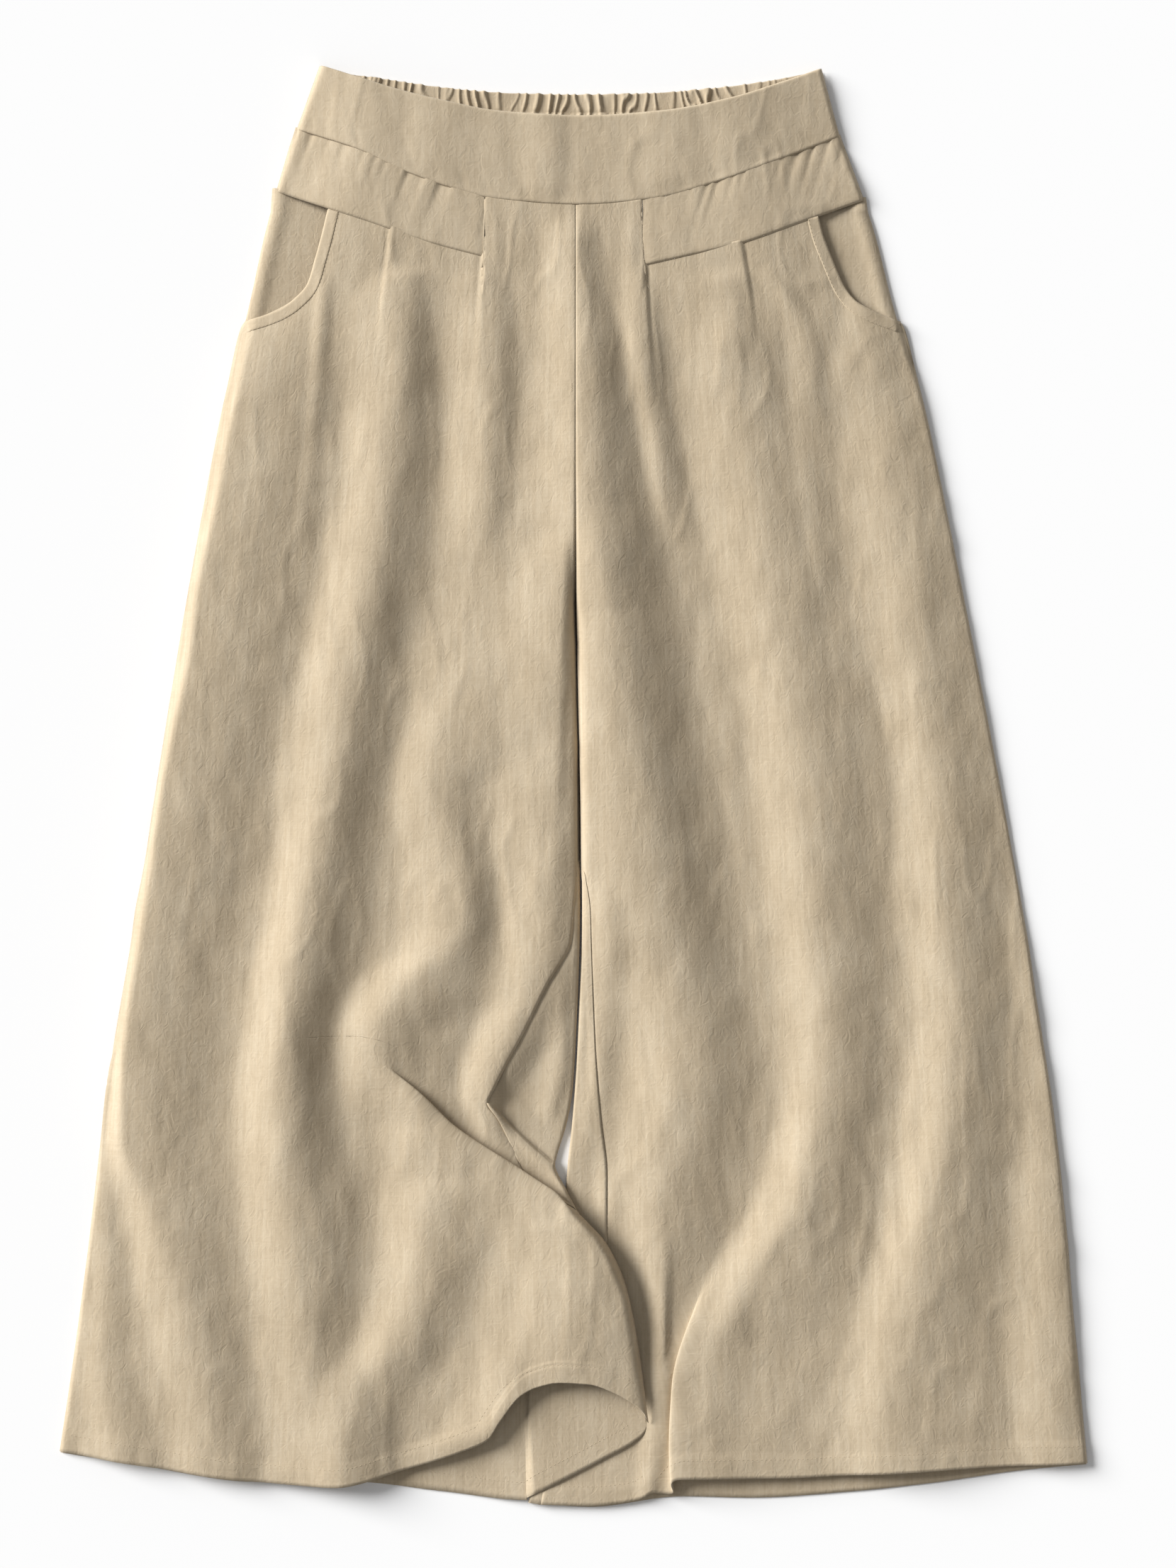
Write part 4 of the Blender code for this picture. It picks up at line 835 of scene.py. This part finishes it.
# Rows of the right front, from the yoke to the hem: the row's end at the side, its end at the
# front seam or inseam (below the twist, at the line where the corner begins), how much of the
# yoke's, the twist's and the hem's line it follows, and how far it is along the twist's turn.
RIGHT_FRONT_ROWS = (
    (-165, 392.5, 1.35, 391.7, 1.0, 0, 0, -10), (-170, 373, 1.35, 377, 0.72, 0, 0, -10),
    (-175, 355, 1.35, 364, 0.5, 0, 0, -10), (-180, 339, 1.35, 351, 0.33, 0, 0, -10),
    (-190, 328, 1.35, 340, 0.2, 0, 0, -10), (-209, 318, 1.35, 331, 0.1, 0, 0, -10),
    (-223, 313.5, 1.35, 325, 0.04, 0, 0, -10), (-236, 264, 1.35, 270, 0, 0, 0, -10),
    (-263, 120, 1.0, 124, 0, 0, 0, -10), (-284, -10, 3.6, -10, 0, 0, 0, -10),
    (-290, -50, 3.8, -50, 0, 0.02, 0, -10), (-297, -85, 0.4, -80, 0, 0.05, 0, -10),
    (-300, -108, -1.6, -104, 0, 0.1, 0, -10), (-304, -132, -18, -134, 0, 0.18, 0, -10),
    (-308, -155, -33, -165, 0, 0.33, 0, -10), (-311, -172, -46, -189, 0, 0.5, 0, -10),
    (-312, -179, -53, -203, 0, 0.65, 0, -10), (-313, -184, -58, -215, 0, 0.78, 0, -10),
    (-314, -188, -49, -227, 0, 0.9, 0, -10), (-315, -193, -40.3, -244.9, 0, 1, 0, -10),
    (-315.2, -195, -36.6, -251.5, 0, 1, 0, -9), (-315.5, -196.5, -31.6, -256.6, 0, 1, 0, -6),
    (-316, -199, -29.6, -261, 0, 1, 0, -3),
    (-316, -201, -31.5, -262.9, 0, 1, 0, 0), (-316.5, -203, -33.2, -265.4, 0, 1, 0, 3),
    (-317, -206, -32.6, -268.5, 0, 1, 0, 6), (-317.5, -210, -29, -273, 0, 1, 0, 10),
    (-321, -245, -26, -297, 0, 0.75, 0.05, 10), (-326, -290, -22, -328, 0, 0.45, 0.2, 10),
    (-337, -375, -15, -380, 0, 0.1, 0.7, 10), (-348, -450, -10, -402, 0, 0, 1, 10),
)
STEP_SHARE = 0.62
STEP_X = -61.3
RIGHT_FRONT_COLUMNS = (76, 50)
# Where the fronts' cloth ends below the yokes, which lie over it: x, y. At the waistband it ends
# WAIST_LAP above the seam. Then the y of the straight first rows, at their two ends.
RIGHT_TOP_LINE = ((-166, 392.5), (-134, 381.5), (-106, 371.5), (-62, 359.5))
LEFT_TOP_LINE = ((47, 353.5), (75, 359.5), (114, 368.5), (163, 386.5))
WAIST_LAP = 1.8
RIGHT_TOP_ROW = (392.5, 391.7)
LEFT_TOP_ROW = (391.7, 386.5)
# The turned corner beyond that line: y where a row leaves the line, and the row's end at the
# free edge.
CORNER_ROWS = (
    (-262.9, 3, -288), (-265.4, 3.5, -289), (-268.5, 5, -290.5), (-273, 8.5, -294),
    (-297, 21, -308), (-328, 33, -332), (-354, 38.8, -354), (-380, 43.5, -380),
    (-391, 47, -406), (-402, 50, -430),
)
CORNER_COLUMNS = 26
CORNER_CURL = 6.0
# Rows of the left front: its end at the front seam or inseam, its end at the side, and how much
# of the yoke's and the hem's line it follows.
LEFT_FRONT_COLUMNS = (30, 19, 88)
LEFT_SIDE_INSET = 1.3
LEFT_FRONT_ROWS = (
    (1.15, 391.7, 163, 386.5, 1.0, 0), (1.15, 377, 168, 373, 0.72, 0), (1.15, 364, 175, 355, 0.5, 0),
    (1.15, 351, 182, 339, 0.33, 0), (1.15, 340, 190, 328, 0.2, 0), (1.15, 331, 209, 318, 0.1, 0),
    (1.15, 325, 221, 313.5, 0.04, 0), (1.15, 270, 235, 264, 0, 0), (2.0, 124, 265, 120, 0, 0),
    (4.6, -10, 290, -10, 0, 0), (5.2, -60, 299, -60, 0, 0), (9.2, -82, 303, -82, 0, 0),
    (10.2, -105, 307, -105, 0, 0), (11.4, -140, 312, -140, 0, 0), (13.5, -185, 319, -185, 0, 0),
    (17, -226, 325, -226, 0, 0), (21, -264, 330, -270, 0, 0.05), (21, -305, 334, -310, 0, 0.1),
    (15, -350, 337, -350, 0, 0.25), (5, -395, 341, -390, 0, 0.55), (-10, -440, 344, -425, 0, 0.85),
    (-24, -486, 347, -458, 0, 1.0),
)
# Pleats that are pressed under the yokes: which way the fold's edge faces, its height, and its
# line as y, x and how much of the height is left.
PLEATS = (
    (-1, 1.1, ((396, -59.5, 0.3), (362, -61.5, 0.4), (354, -62, 1.0), (327, -64, 0.8),
               (293, -66, 0.4), (262, -67, 0))),
    (-1, 1.2, ((377, -123.5, 1.0), (349, -127, 0.9), (316, -131, 0.5), (286, -133, 0))),
    (1, 1.1, ((396, 45.6, 0.3), (360, 47.8, 0.4), (349, 48.4, 1.0), (320, 50, 0.8),
              (290, 52, 0.4), (262, 54, 0))),
    (1, 1.2, ((369, 112.5, 1.0), (349, 116, 0.9), (321, 120.5, 0.5), (290, 122, 0))),
)
PLEAT_GROOVE = 0.4
SIDE_LOW = 1.1
SIDE_CURLS = (4.0, 2.6)
HEM_TURN = 13.5
HEM_STITCH = HEM_TURN - 1.5
HEM_THICK = 0.5
HEM_DIMPLE = 0.35
HEM_RIPPLE = 0.25
# A leg's cloth spread flat is this wide from its middle to its side.
LEG_MIDDLE = 3.0
LEG_CLOTH = 330.0


def overhang(phase, reach):
    """Shift of a fold that lies over itself, at its phase from -TURN to TURN."""
    return -reach * np.sin(np.pi * np.clip(phase / TURN, -1.0, 1.0))


def turned_share(phase):
    """How much of such a fold's rise is reached at its phase."""
    return ease(phase, -TURN, 2 * TURN)


def pleats(x, y):
    """The pressed pleats: a step up at the fold's edge that dies away behind it."""
    total = 0.0
    for facing, height, line in PLEATS:
        behind = (column(line, 1, y) - x) * facing
        left = column(line, 2, y) * (y < line[0][0] + 4) * (y > line[-1][0])
        step = height * ease(behind, -1.2, 2.4) * np.exp(-np.maximum(behind, 0) / 16)
        total = total + left * (step - PLEAT_GROOVE * np.exp(-((behind + 1.4) / 1.3) ** 2))
    return total


def side_seam_edge(x, y, z):
    """The cloth comes down to the side seam in a small roll."""
    right, left = x - column(SIDE, 1, y), column(SIDE, 2, y) - x
    return SIDE_LOW + (z - SIDE_LOW) * quarter(np.minimum(right / SIDE_CURLS[0], left / SIDE_CURLS[1]))


def hem_relief(x, y, hem):
    """The double hem: a little thicker than the cloth, with a dimple along its stitches."""
    above = (y - through(*zip(*hem), x)) * 0.95
    thick = HEM_THICK * (1 - ease(above, HEM_TURN - 0.4, 1.4)) * (above > -3)
    dimple = HEM_DIMPLE * np.exp(-((above - HEM_STITCH) / 0.9) ** 2)
    ripple = HEM_RIPPLE * crumple(x, y * 0 + 7, 6, 50, 41) * np.exp(-((above - 8) / 7) ** 2)
    return thick - dimple + ripple


def seam_groove(gap, y):
    """The front sinks a little where the inseam is sewn."""
    return GROOVE * np.exp(-(gap / 0.8) ** 2) * ease(y, -60, -25)


def leg_places(x, y, leg):
    """Places on the flat cloth: the grain runs halfway between straight down and the leg's flare."""
    width = np.abs(column(SIDE, leg, y) - LEG_MIDDLE)
    return np.stack(((x + LEG_CLOTH * (x - LEG_MIDDLE) / width) / 2, y), axis=1)


def right_front_grid():
    outer = np.linspace(0, STEP_SHARE, RIGHT_FRONT_COLUMNS[0])
    inner = np.linspace(STEP_SHARE + 0.004, 1, RIGHT_FRONT_COLUMNS[1])
    shares = np.concatenate((outer, inner))
    first_y = RIGHT_TOP_ROW[0] + (RIGHT_TOP_ROW[1] - RIGHT_TOP_ROW[0]) * shares
    corner_shares = np.arange(1, CORNER_COLUMNS + 1) / CORNER_COLUMNS
    grid, places = [], []
    rows = finer(RIGHT_FRONT_ROWS, STEP, ((0, 1), (2, 3)), extra=7)
    for side_x, side_y, seam_x, seam_y, top, twist, hem, phase in rows:
        step_x = side_x + (seam_x - side_x) * STEP_SHARE
        step_x = step_x + (STEP_X - step_x) * ease(seam_y, 180, 140)
        x = np.interp(shares, (0.0, STEP_SHARE, 1.0), (side_x, step_x, seam_x))
        y = side_y + (seam_y - side_y) * shares
        yoke = np.interp(x, *zip(*RIGHT_TOP_LINE))
        band = through(*zip(*WAIST_SEAM), x) + WAIST_LAP
        y = y + top * (np.where(shares <= STEP_SHARE, yoke, band) - first_y)
        y = y + twist * bend(TWIST, x, side_x, seam_x)
        y = y + hem * bend(HEM_RIGHT_FRONT, x, side_x, seam_x)
        has_corner = phase >= -TUCKED - 0.01
        if has_corner:
            end_x, end_y = column(CORNER_ROWS, 1, seam_y), column(CORNER_ROWS, 2, seam_y)
            far_x = seam_x + (end_x - seam_x) * corner_shares
            far_y = seam_y + (end_y - seam_y) * corner_shares
            far_y = far_y + hem * bend(HEM_RIGHT_FRONT, far_x, seam_x, end_x)
        else:
            far_x = far_y = np.full(CORNER_COLUMNS, np.nan)
        x, y = np.concatenate((x, far_x)), np.concatenate((y, far_y))
        grows = ease(x, -138, 40)
        twist_y = through(*zip(*TWIST), x)
        slope = (through(*zip(*TWIST), x + 0.5) - twist_y) / 0.5
        shift = overhang(phase, TWIST_TUCK) * grows * ease(x, 2, -20)
        size = np.hypot(slope, 1.0)
        rise = TWIST_RISE * grows * turned_share(phase) * (1 - ease(twist_y - y, 0, 150))
        height = right_height(x, y) - FRONT_MID + rise + pleats(x, y)
        if has_corner:
            height = height * quarter(np.maximum((column(FLAP_EDGE, 1, y) - x) / CORNER_CURL, 0.02))
        z = side_seam_edge(x, y, FRONT_MID + height + climb(x, y))
        z = z + hem_relief(x, y, HEM_RIGHT_FRONT) * (hem > 0.6)
        z = z + wash_creases(x, y)
        if phase < -TUCKED:
            z = z - seam_groove(seam_x - x, seam_y)
        grid.append(np.stack((x + shift * slope / size, y - shift / size, z), axis=1))
        places.append(leg_places(x, y, 1))
    return np.array(grid), np.array(places)


def left_front_grid():
    grid, places = [], []
    phases = np.linspace(-TURN, TURN, LEFT_FRONT_COLUMNS[1])
    for seam_x, seam_y, side_x, side_y, top, hem in finer(LEFT_FRONT_ROWS, STEP, ((0, 1), (2, 3))):
        line_y = (seam_y + side_y) / 2
        line = column(LAP_LINE, 1, line_y)
        inner = np.linspace(seam_x, line - TURN, LEFT_FRONT_COLUMNS[0])[:-1]
        outer = np.linspace(line + TURN, side_x, LEFT_FRONT_COLUMNS[2])[1:-1]
        outer = np.append(outer, (side_x - LEFT_SIDE_INSET, side_x))
        x = np.concatenate((inner, line + phases, outer))
        phase = np.concatenate((inner * 0 - TURN, phases, outer * 0 + TURN))
        share = (x - seam_x) / (side_x - seam_x)
        y = seam_y + (side_y - seam_y) * share
        yoke = np.interp(x, *zip(*LEFT_TOP_LINE))
        band = through(*zip(*WAIST_SEAM), x) + WAIST_LAP
        first_y = LEFT_TOP_ROW[0] + (LEFT_TOP_ROW[1] - LEFT_TOP_ROW[0]) * share
        y = y + top * (np.where(phase > -0.01, yoke, band) - first_y)
        y = y + hem * bend(HEM_LEFT_FRONT, x, seam_x, side_x)
        lapped = ease(line_y, -325, -50)
        rise = LAP_RISE * lapped * turned_share(phase) * (1 - ease(x, line, 55))
        z = side_seam_edge(x, y, left_height(x, y) + rise + pleats(x, y))
        z = z + hem_relief(x, y, HEM_LEFT_FRONT) * (hem > 0.8)
        calm = 1 - 0.78 * np.exp(-((x - seam_x) / 4) ** 2) * ease(seam_y, -90, -15)
        z = z + wash_creases(x, y) * (1 - 0.8 * flap_cover(x, y)) * calm
        z = z - seam_groove(x - seam_x, seam_y)
        x_out = x + overhang(phase, LAP_TUCK) * lapped
        grid.append(np.stack((x_out, y, z), axis=1))
        places.append(leg_places(x, y, 2))
    return np.array(grid), np.array(places)


right_front, right_places = right_front_grid()
right_front_piece = laid_cloth("right_leg_front", right_front, right_places, leg_linen)
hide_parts("front_right")
left_front, left_places = left_front_grid()
left_front_piece = laid_cloth("left_leg_front", left_front, left_places + 700, leg_linen)
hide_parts("front_left")


# ---- Pocket bindings -------------------------------------------------------------------------
# A narrow strip of linen folded over each pocket's curved edge and stitched down along its
# outer side.
BINDING_WIDTH = 8.0
BINDING_LIFT = 0.5
BINDING_THICKNESS = 0.5


def binding_grid(side):
    index = 1 if side < 0 else 2
    top_y = 389 if side < 0 else 385
    y_line = np.concatenate((np.linspace(top_y, 330, 34), np.linspace(328.5, 314, 22)))
    x_line = column(POCKET, index, y_line)
    along = np.stack((np.gradient(x_line), np.gradient(y_line)), axis=1)
    along /= np.linalg.norm(along, axis=1)[:, None]
    inward = np.stack((along[:, 1], -along[:, 0]), axis=1) * side
    height = right_height if side < 0 else left_height
    grid = []
    for across in np.linspace(0.0, BINDING_WIDTH, 11):
        x = x_line + inward[:, 0] * across
        y = y_line + inward[:, 1] * across
        roll = BINDING_LIFT * quarter(min(across, BINDING_WIDTH - across) / 1.2)
        z = side_seam_edge(x, y, height(x, y)) + roll + 0.8 * wash_creases(x, y)
        grid.append(np.stack((x, y, z), axis=1))
    return np.array(grid)


for side, word in ((-1, "right"), (1, "left")):
    binding = binding_grid(side)
    binding_piece = laid_cloth(word + "_pocket_binding", binding, plan_places(binding, 5000),
                               band_linen, BINDING_THICKNESS)
    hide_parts("pocket_binding_" + word)


# ---- Yokes -----------------------------------------------------------------------------------
# The shaped side pieces between the waistband and the pleated fronts. Each one's lower edge is
# turned under and laid over the pleats, and small puckers run down from the waistband seam.
YOKE_LIFT = 0.8
YOKE_CREASES = 0.9
PUCKER_DEPTH = 1.3
# The x of the ends of a yoke's lower edge and of its upper edge.
YOKE_SPANS = {-1: ((-201.5, -60.6), (-188.5, -58.9)), 1: ((46.3, 196.2), (44.4, 179.8))}


def pucker(x, down, seed, reach):
    """Short dimples that run down from a seam and die away."""
    lean = x + 0.35 * down
    pull = crumple(lean, down * 0, 3.6, 30, seed) + 0.6 * crumple(lean, down * 0, 8, 30, seed + 1)
    return -PUCKER_DEPTH * np.maximum(pull, 0.0) * np.exp(-np.maximum(down, 0) / reach)


def yoke_grid(side):
    edge = YOKE_EDGE_RIGHT if side < 0 else YOKE_EDGE_LEFT
    low_x, top_x = (np.linspace(*ends, 90) for ends in YOKE_SPANS[side])
    low_y = through(*zip(*edge), low_x)
    top_y = through(*zip(*WAIST_SEAM), top_x) + WAIST_LAP
    grid = []
    for v in np.linspace(0, 1, 26):
        x = top_x + (low_x - top_x) * v
        y = top_y + (low_y - top_y) * v
        turned = quarter((y - low_y).mean() / 1.6)
        z = bed(x, y) + YOKE_LIFT * (0.4 + 0.6 * smooth(v * 1.5)) - 0.6 * (1 - turned)
        z = side_seam_edge(x, y, z) + YOKE_CREASES * wash_creases(x, y) + pucker(x, top_y - y, 51, 14)
        end = np.abs(x - (x[-1] if side < 0 else x[0]))
        z = z - 0.6 * YOKE_LIFT * (1 - ease(end, 0, 7)) - 0.25 * np.exp(-(end / 1.2) ** 2)
        grid.append(np.stack((x, y, z), axis=1))
    return np.array(grid)


for side, word in ((-1, "right"), (1, "left")):
    yoke = yoke_grid(side)
    yoke_piece = laid_cloth(word + "_yoke", yoke, plan_places(yoke, 6000), band_linen)
    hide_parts("yoke_" + word)


# ---- Front waistband -------------------------------------------------------------------------
# A wide shaped band, doubled and turned at the top, sewn on over the yokes and the fronts. It
# has a slight wave at the middle, and small puckers along its lower seam.
FRONT_BAND_LIFT = 0.55
FRONT_BAND_CREASES = 0.9
FRONT_BAND_THICKNESS = 0.8
FRONT_TOP_ENDS = (-172.0, 167.0)
FRONT_LOW_ENDS = (-187.5, 179.5)
FRONT_TOP = ((-172, 487), (-123, 471), (-92, 463), (-49, 455), (4, 452), (57, 455),
             (105, 464), (142, 476), (167, 485))
BAND_WAVES = {
    "middle": ((500, -18, 1.6, 26, 16), (380, -15, 1.6, 26, 16)),
    "right": ((500, -88, 1.2, 26, 30), (380, -96, 1.2, 26, 30)),
    "left": ((500, 62, 1.2, 30, 24), (380, 70, 1.2, 30, 24)),
}


def front_band_grid():
    top_x, low_x = np.linspace(*FRONT_TOP_ENDS, 210), np.linspace(*FRONT_LOW_ENDS, 210)
    top_y = through(*zip(*FRONT_TOP), top_x)
    low_y = through(*zip(*WAIST_SEAM), low_x)
    grid = []
    for v in np.concatenate((np.linspace(0, 0.06, 5)[:-1], np.linspace(0.06, 0.95, 24),
                             np.linspace(0.95, 1, 4)[1:])):
        x = top_x + (low_x - top_x) * v
        y = top_y + (low_y - top_y) * v
        above = y - low_y
        z = bed(x, np.minimum(y, 420.0)) + FRONT_BAND_LIFT
        z = z + folds((BAND_WAVES,), x, y) * ease(above, 0, 14)
        z = side_seam_edge(x, y, z) + FRONT_BAND_CREASES * wash_creases(x, y)
        z = z + pucker(x, above, 61, 8) * 0.6 * ease(above, 1, 4)
        z = z - 0.6 * (1 - quarter((np.minimum(top_y - y, above) + 0.001) / 1.5))
        grid.append(np.stack((x, y, z), axis=1))
    return np.array(grid)


band_front = front_band_grid()
band_front_piece = laid_cloth("front_waistband", band_front, plan_places(band_front, 7000),
                              band_linen, FRONT_BAND_THICKNESS)
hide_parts("waistband_front")


# ---- Stitching -------------------------------------------------------------------------------
# Lockstitch in thread of the linen's colour, about 3 mm long: along the hems, the outer side of
# the pocket bindings, and a short bar at the foot of the fly line.
THREAD = 0.30
STITCH = 2.3
STITCH_PITCH = 3.1
# Height of the thread over the cloth, and its thickness, at five places along a stitch.
STITCH_DIP = (-0.25, -0.02, 0.04, -0.02, -0.25)
STITCH_TAPER = (0.55, 1.0, 1.0, 1.0, 0.55)
THREAD_SIDES = 6
FLY_BAR = (-1.6, 271.0)
FLY_BAR_WIDTH = 2.4
FLY_BAR_STEP = 0.6
thread = make_linen("sewing_thread", 0.3, 0.5)


def surface_of(*pieces):
    """The upper surface of some finished pieces, to lay things on."""
    graph = bpy.context.evaluated_depsgraph_get()
    points, faces = [], []
    for piece in pieces:
        shaped = piece.evaluated_get(graph)
        mesh = shaped.to_mesh()
        start = len(points)
        points += [vertex.co.copy() for vertex in mesh.vertices]
        faces += [[start + i for i in polygon.vertices] for polygon in mesh.polygons]
        shaped.to_mesh_clear()
    return BVHTree.FromPolygons(points, faces)


def lay_on(tree, x, y):
    """The height of a surface at a place, or None beside it."""
    hit = tree.ray_cast(Vector((x * MM, y * MM, 0.2)), Vector((0, 0, -1)))
    return hit[0].z / MM if hit[0] is not None else None


def stitch_row(name, line, tree, pitch=STITCH_PITCH, length=STITCH, first=0.6):
    """A row of stitches along a line of (x, y) places, laid on a surface."""
    line = np.array(line, float)
    along = np.concatenate(([0.0], np.cumsum(np.hypot(*np.diff(line, axis=0).T))))
    points, faces = [], []
    for start in np.arange(first, along[-1] - length + 0.01, pitch):
        at = start + length * np.linspace(0, 1, len(STITCH_DIP))
        x, y = np.interp(at, along, line[:, 0]), np.interp(at, along, line[:, 1])
        z = [lay_on(tree, a, b) for a, b in zip(x, y)]
        if None in z:
            continue
        across = np.array((y[0] - y[-1], x[-1] - x[0]))
        across /= max(math.hypot(*across), 1e-6)
        base = len(points)
        for i, (dip, taper) in enumerate(zip(STITCH_DIP, STITCH_TAPER)):
            thick = THREAD / 2 * taper
            for j in range(THREAD_SIDES):
                turn = 2 * math.pi * j / THREAD_SIDES
                points.append(((x[i] + across[0] * thick * math.cos(turn)) * MM,
                               (y[i] + across[1] * thick * math.cos(turn)) * MM,
                               (z[i] + dip + thick * math.sin(turn)) * MM))
        for ring in range(base, len(points) - THREAD_SIDES, THREAD_SIDES):
            for j in range(THREAD_SIDES):
                a, b = ring + j, ring + (j + 1) % THREAD_SIDES
                faces.append((a, b, b + THREAD_SIDES, a + THREAD_SIDES))
        faces.append(tuple(reversed(range(base, base + THREAD_SIDES))))
        faces.append(tuple(range(len(points) - THREAD_SIDES, len(points))))
    mesh = bpy.data.meshes.new(name)
    mesh.from_pydata(points, [], faces)
    layer = mesh.uv_layers.new(name="cloth")
    corner_points = np.array([points[i][:2] for face in faces for i in face], np.float32)
    layer.data.foreach_set("uv", corner_points.ravel())
    mesh.polygons.foreach_set("use_smooth", np.ones(len(faces), bool))
    mesh.update()
    row = bpy.data.objects.new(name, mesh)
    collection.objects.link(row)
    row.data.materials.append(thread)
    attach(row, "root")
    return row


def above_hem(hem, start, end, rise):
    """A line a given way above a hem, from one x to another."""
    x = np.linspace(start, end, 160)
    y = through(*zip(*hem), x)
    slope = np.gradient(y, x)
    size = np.hypot(slope, 1.0)
    return np.stack((x - slope / size * rise, y + rise / size), axis=1)


right_top = surface_of(right_front_piece)
fly_bar = [(FLY_BAR[0] + FLY_BAR_WIDTH / 2 * (-1) ** k, FLY_BAR[1] - FLY_BAR_STEP * k)
           for k in range(11)]
fly_step = math.hypot(FLY_BAR_WIDTH, FLY_BAR_STEP)
stitch_row("fly_bar_stitches", fly_bar, right_top, fly_step, fly_step, 0.0)
left_top = surface_of(left_front_piece)
stitch_row("right_hem_stitches", above_hem(HEM_RIGHT_FRONT, -344, 40, HEM_STITCH), right_top)
stitch_row("left_hem_stitches", above_hem(HEM_LEFT_FRONT, 66, 344, HEM_STITCH), left_top)
stitch_row("left_inner_hem_stitches", above_hem(HEM_LEFT_FRONT, -12, 52, HEM_STITCH), left_top)
back_top = surface_of(right_back_piece)
stitch_row("right_back_hem_stitches", above_hem(HEM_RIGHT_BACK, -140, 44, HEM_STITCH), back_top)
for side, word in ((-1, "right"), (1, "left")):
    strip = binding_grid(side)[-2]
    name = word + "_pocket_stitches"
    stitch_row(name, strip[:, :2], surface_of(bpy.data.objects[word + "_pocket_binding"]), 2.8, 2.0)


# ---- Studio ----------------------------------------------------------------------------------
# A plain white table, a large soft light from the upper left and an even fill, with the camera
# straight above as in the photograph.
FRAME = (1659, 2212)
PIXEL = 0.48
CAMERA_HEIGHT = 2.6
VIEW_CENTRE = (9.4, 1.4)
FLOOR_COLOUR = (0.965, 0.965, 0.965)
WINDOW_SIDE = (-0.90, 0.43, 0.42)
WINDOW_WIDTH = math.radians(30)
WINDOW_STRENGTH = 5.8
ROOM_STRENGTH = 0.30
TABLE_BELOW = 0.0003
SENSOR = 24.0

floor_mesh = bpy.data.meshes.new("table_top")
floor_mesh.from_pydata([(-4, -4, 0), (4, -4, 0), (4, 4, 0), (-4, 4, 0)], [], [(0, 1, 2, 3)])
floor = bpy.data.objects.new("table_top", floor_mesh)
floor.location.z = -TABLE_BELOW
collection.objects.link(floor)
floor_material = bpy.data.materials.new("white_table")
floor_material.use_nodes = True
floor_shader = floor_material.node_tree.nodes["Principled BSDF"]
floor_shader.inputs["Base Color"].default_value = (*FLOOR_COLOUR, 1)
floor_shader.inputs["Roughness"].default_value = 0.9
floor_shader.inputs["Specular IOR Level"].default_value = 0.1
floor.data.materials.append(floor_material)

camera_data = bpy.data.cameras.new("camera")
camera = bpy.data.objects.new("camera", camera_data)
collection.objects.link(camera)
camera_data.sensor_fit = "VERTICAL"
camera_data.sensor_height = SENSOR
camera_data.lens = SENSOR * CAMERA_HEIGHT / (FRAME[1] * PIXEL * MM)
camera.location = (VIEW_CENTRE[0] * MM, VIEW_CENTRE[1] * MM, CAMERA_HEIGHT)
bpy.context.scene.camera = camera

world = bpy.data.worlds.new("soft_room")
bpy.context.scene.world = world
world.use_nodes = True
world.node_tree.nodes["Background"].inputs["Color"].default_value = (1, 1, 1, 1)
world.node_tree.nodes["Background"].inputs["Strength"].default_value = ROOM_STRENGTH

window_data = bpy.data.lights.new("window", "SUN")
window_data.energy = WINDOW_STRENGTH
window_data.angle = WINDOW_WIDTH
window = bpy.data.objects.new("window", window_data)
collection.objects.link(window)
window.rotation_euler = (-Vector(WINDOW_SIDE)).to_track_quat("-Z", "Y").to_euler()
bpy.context.scene.view_settings.view_transform = "Standard"
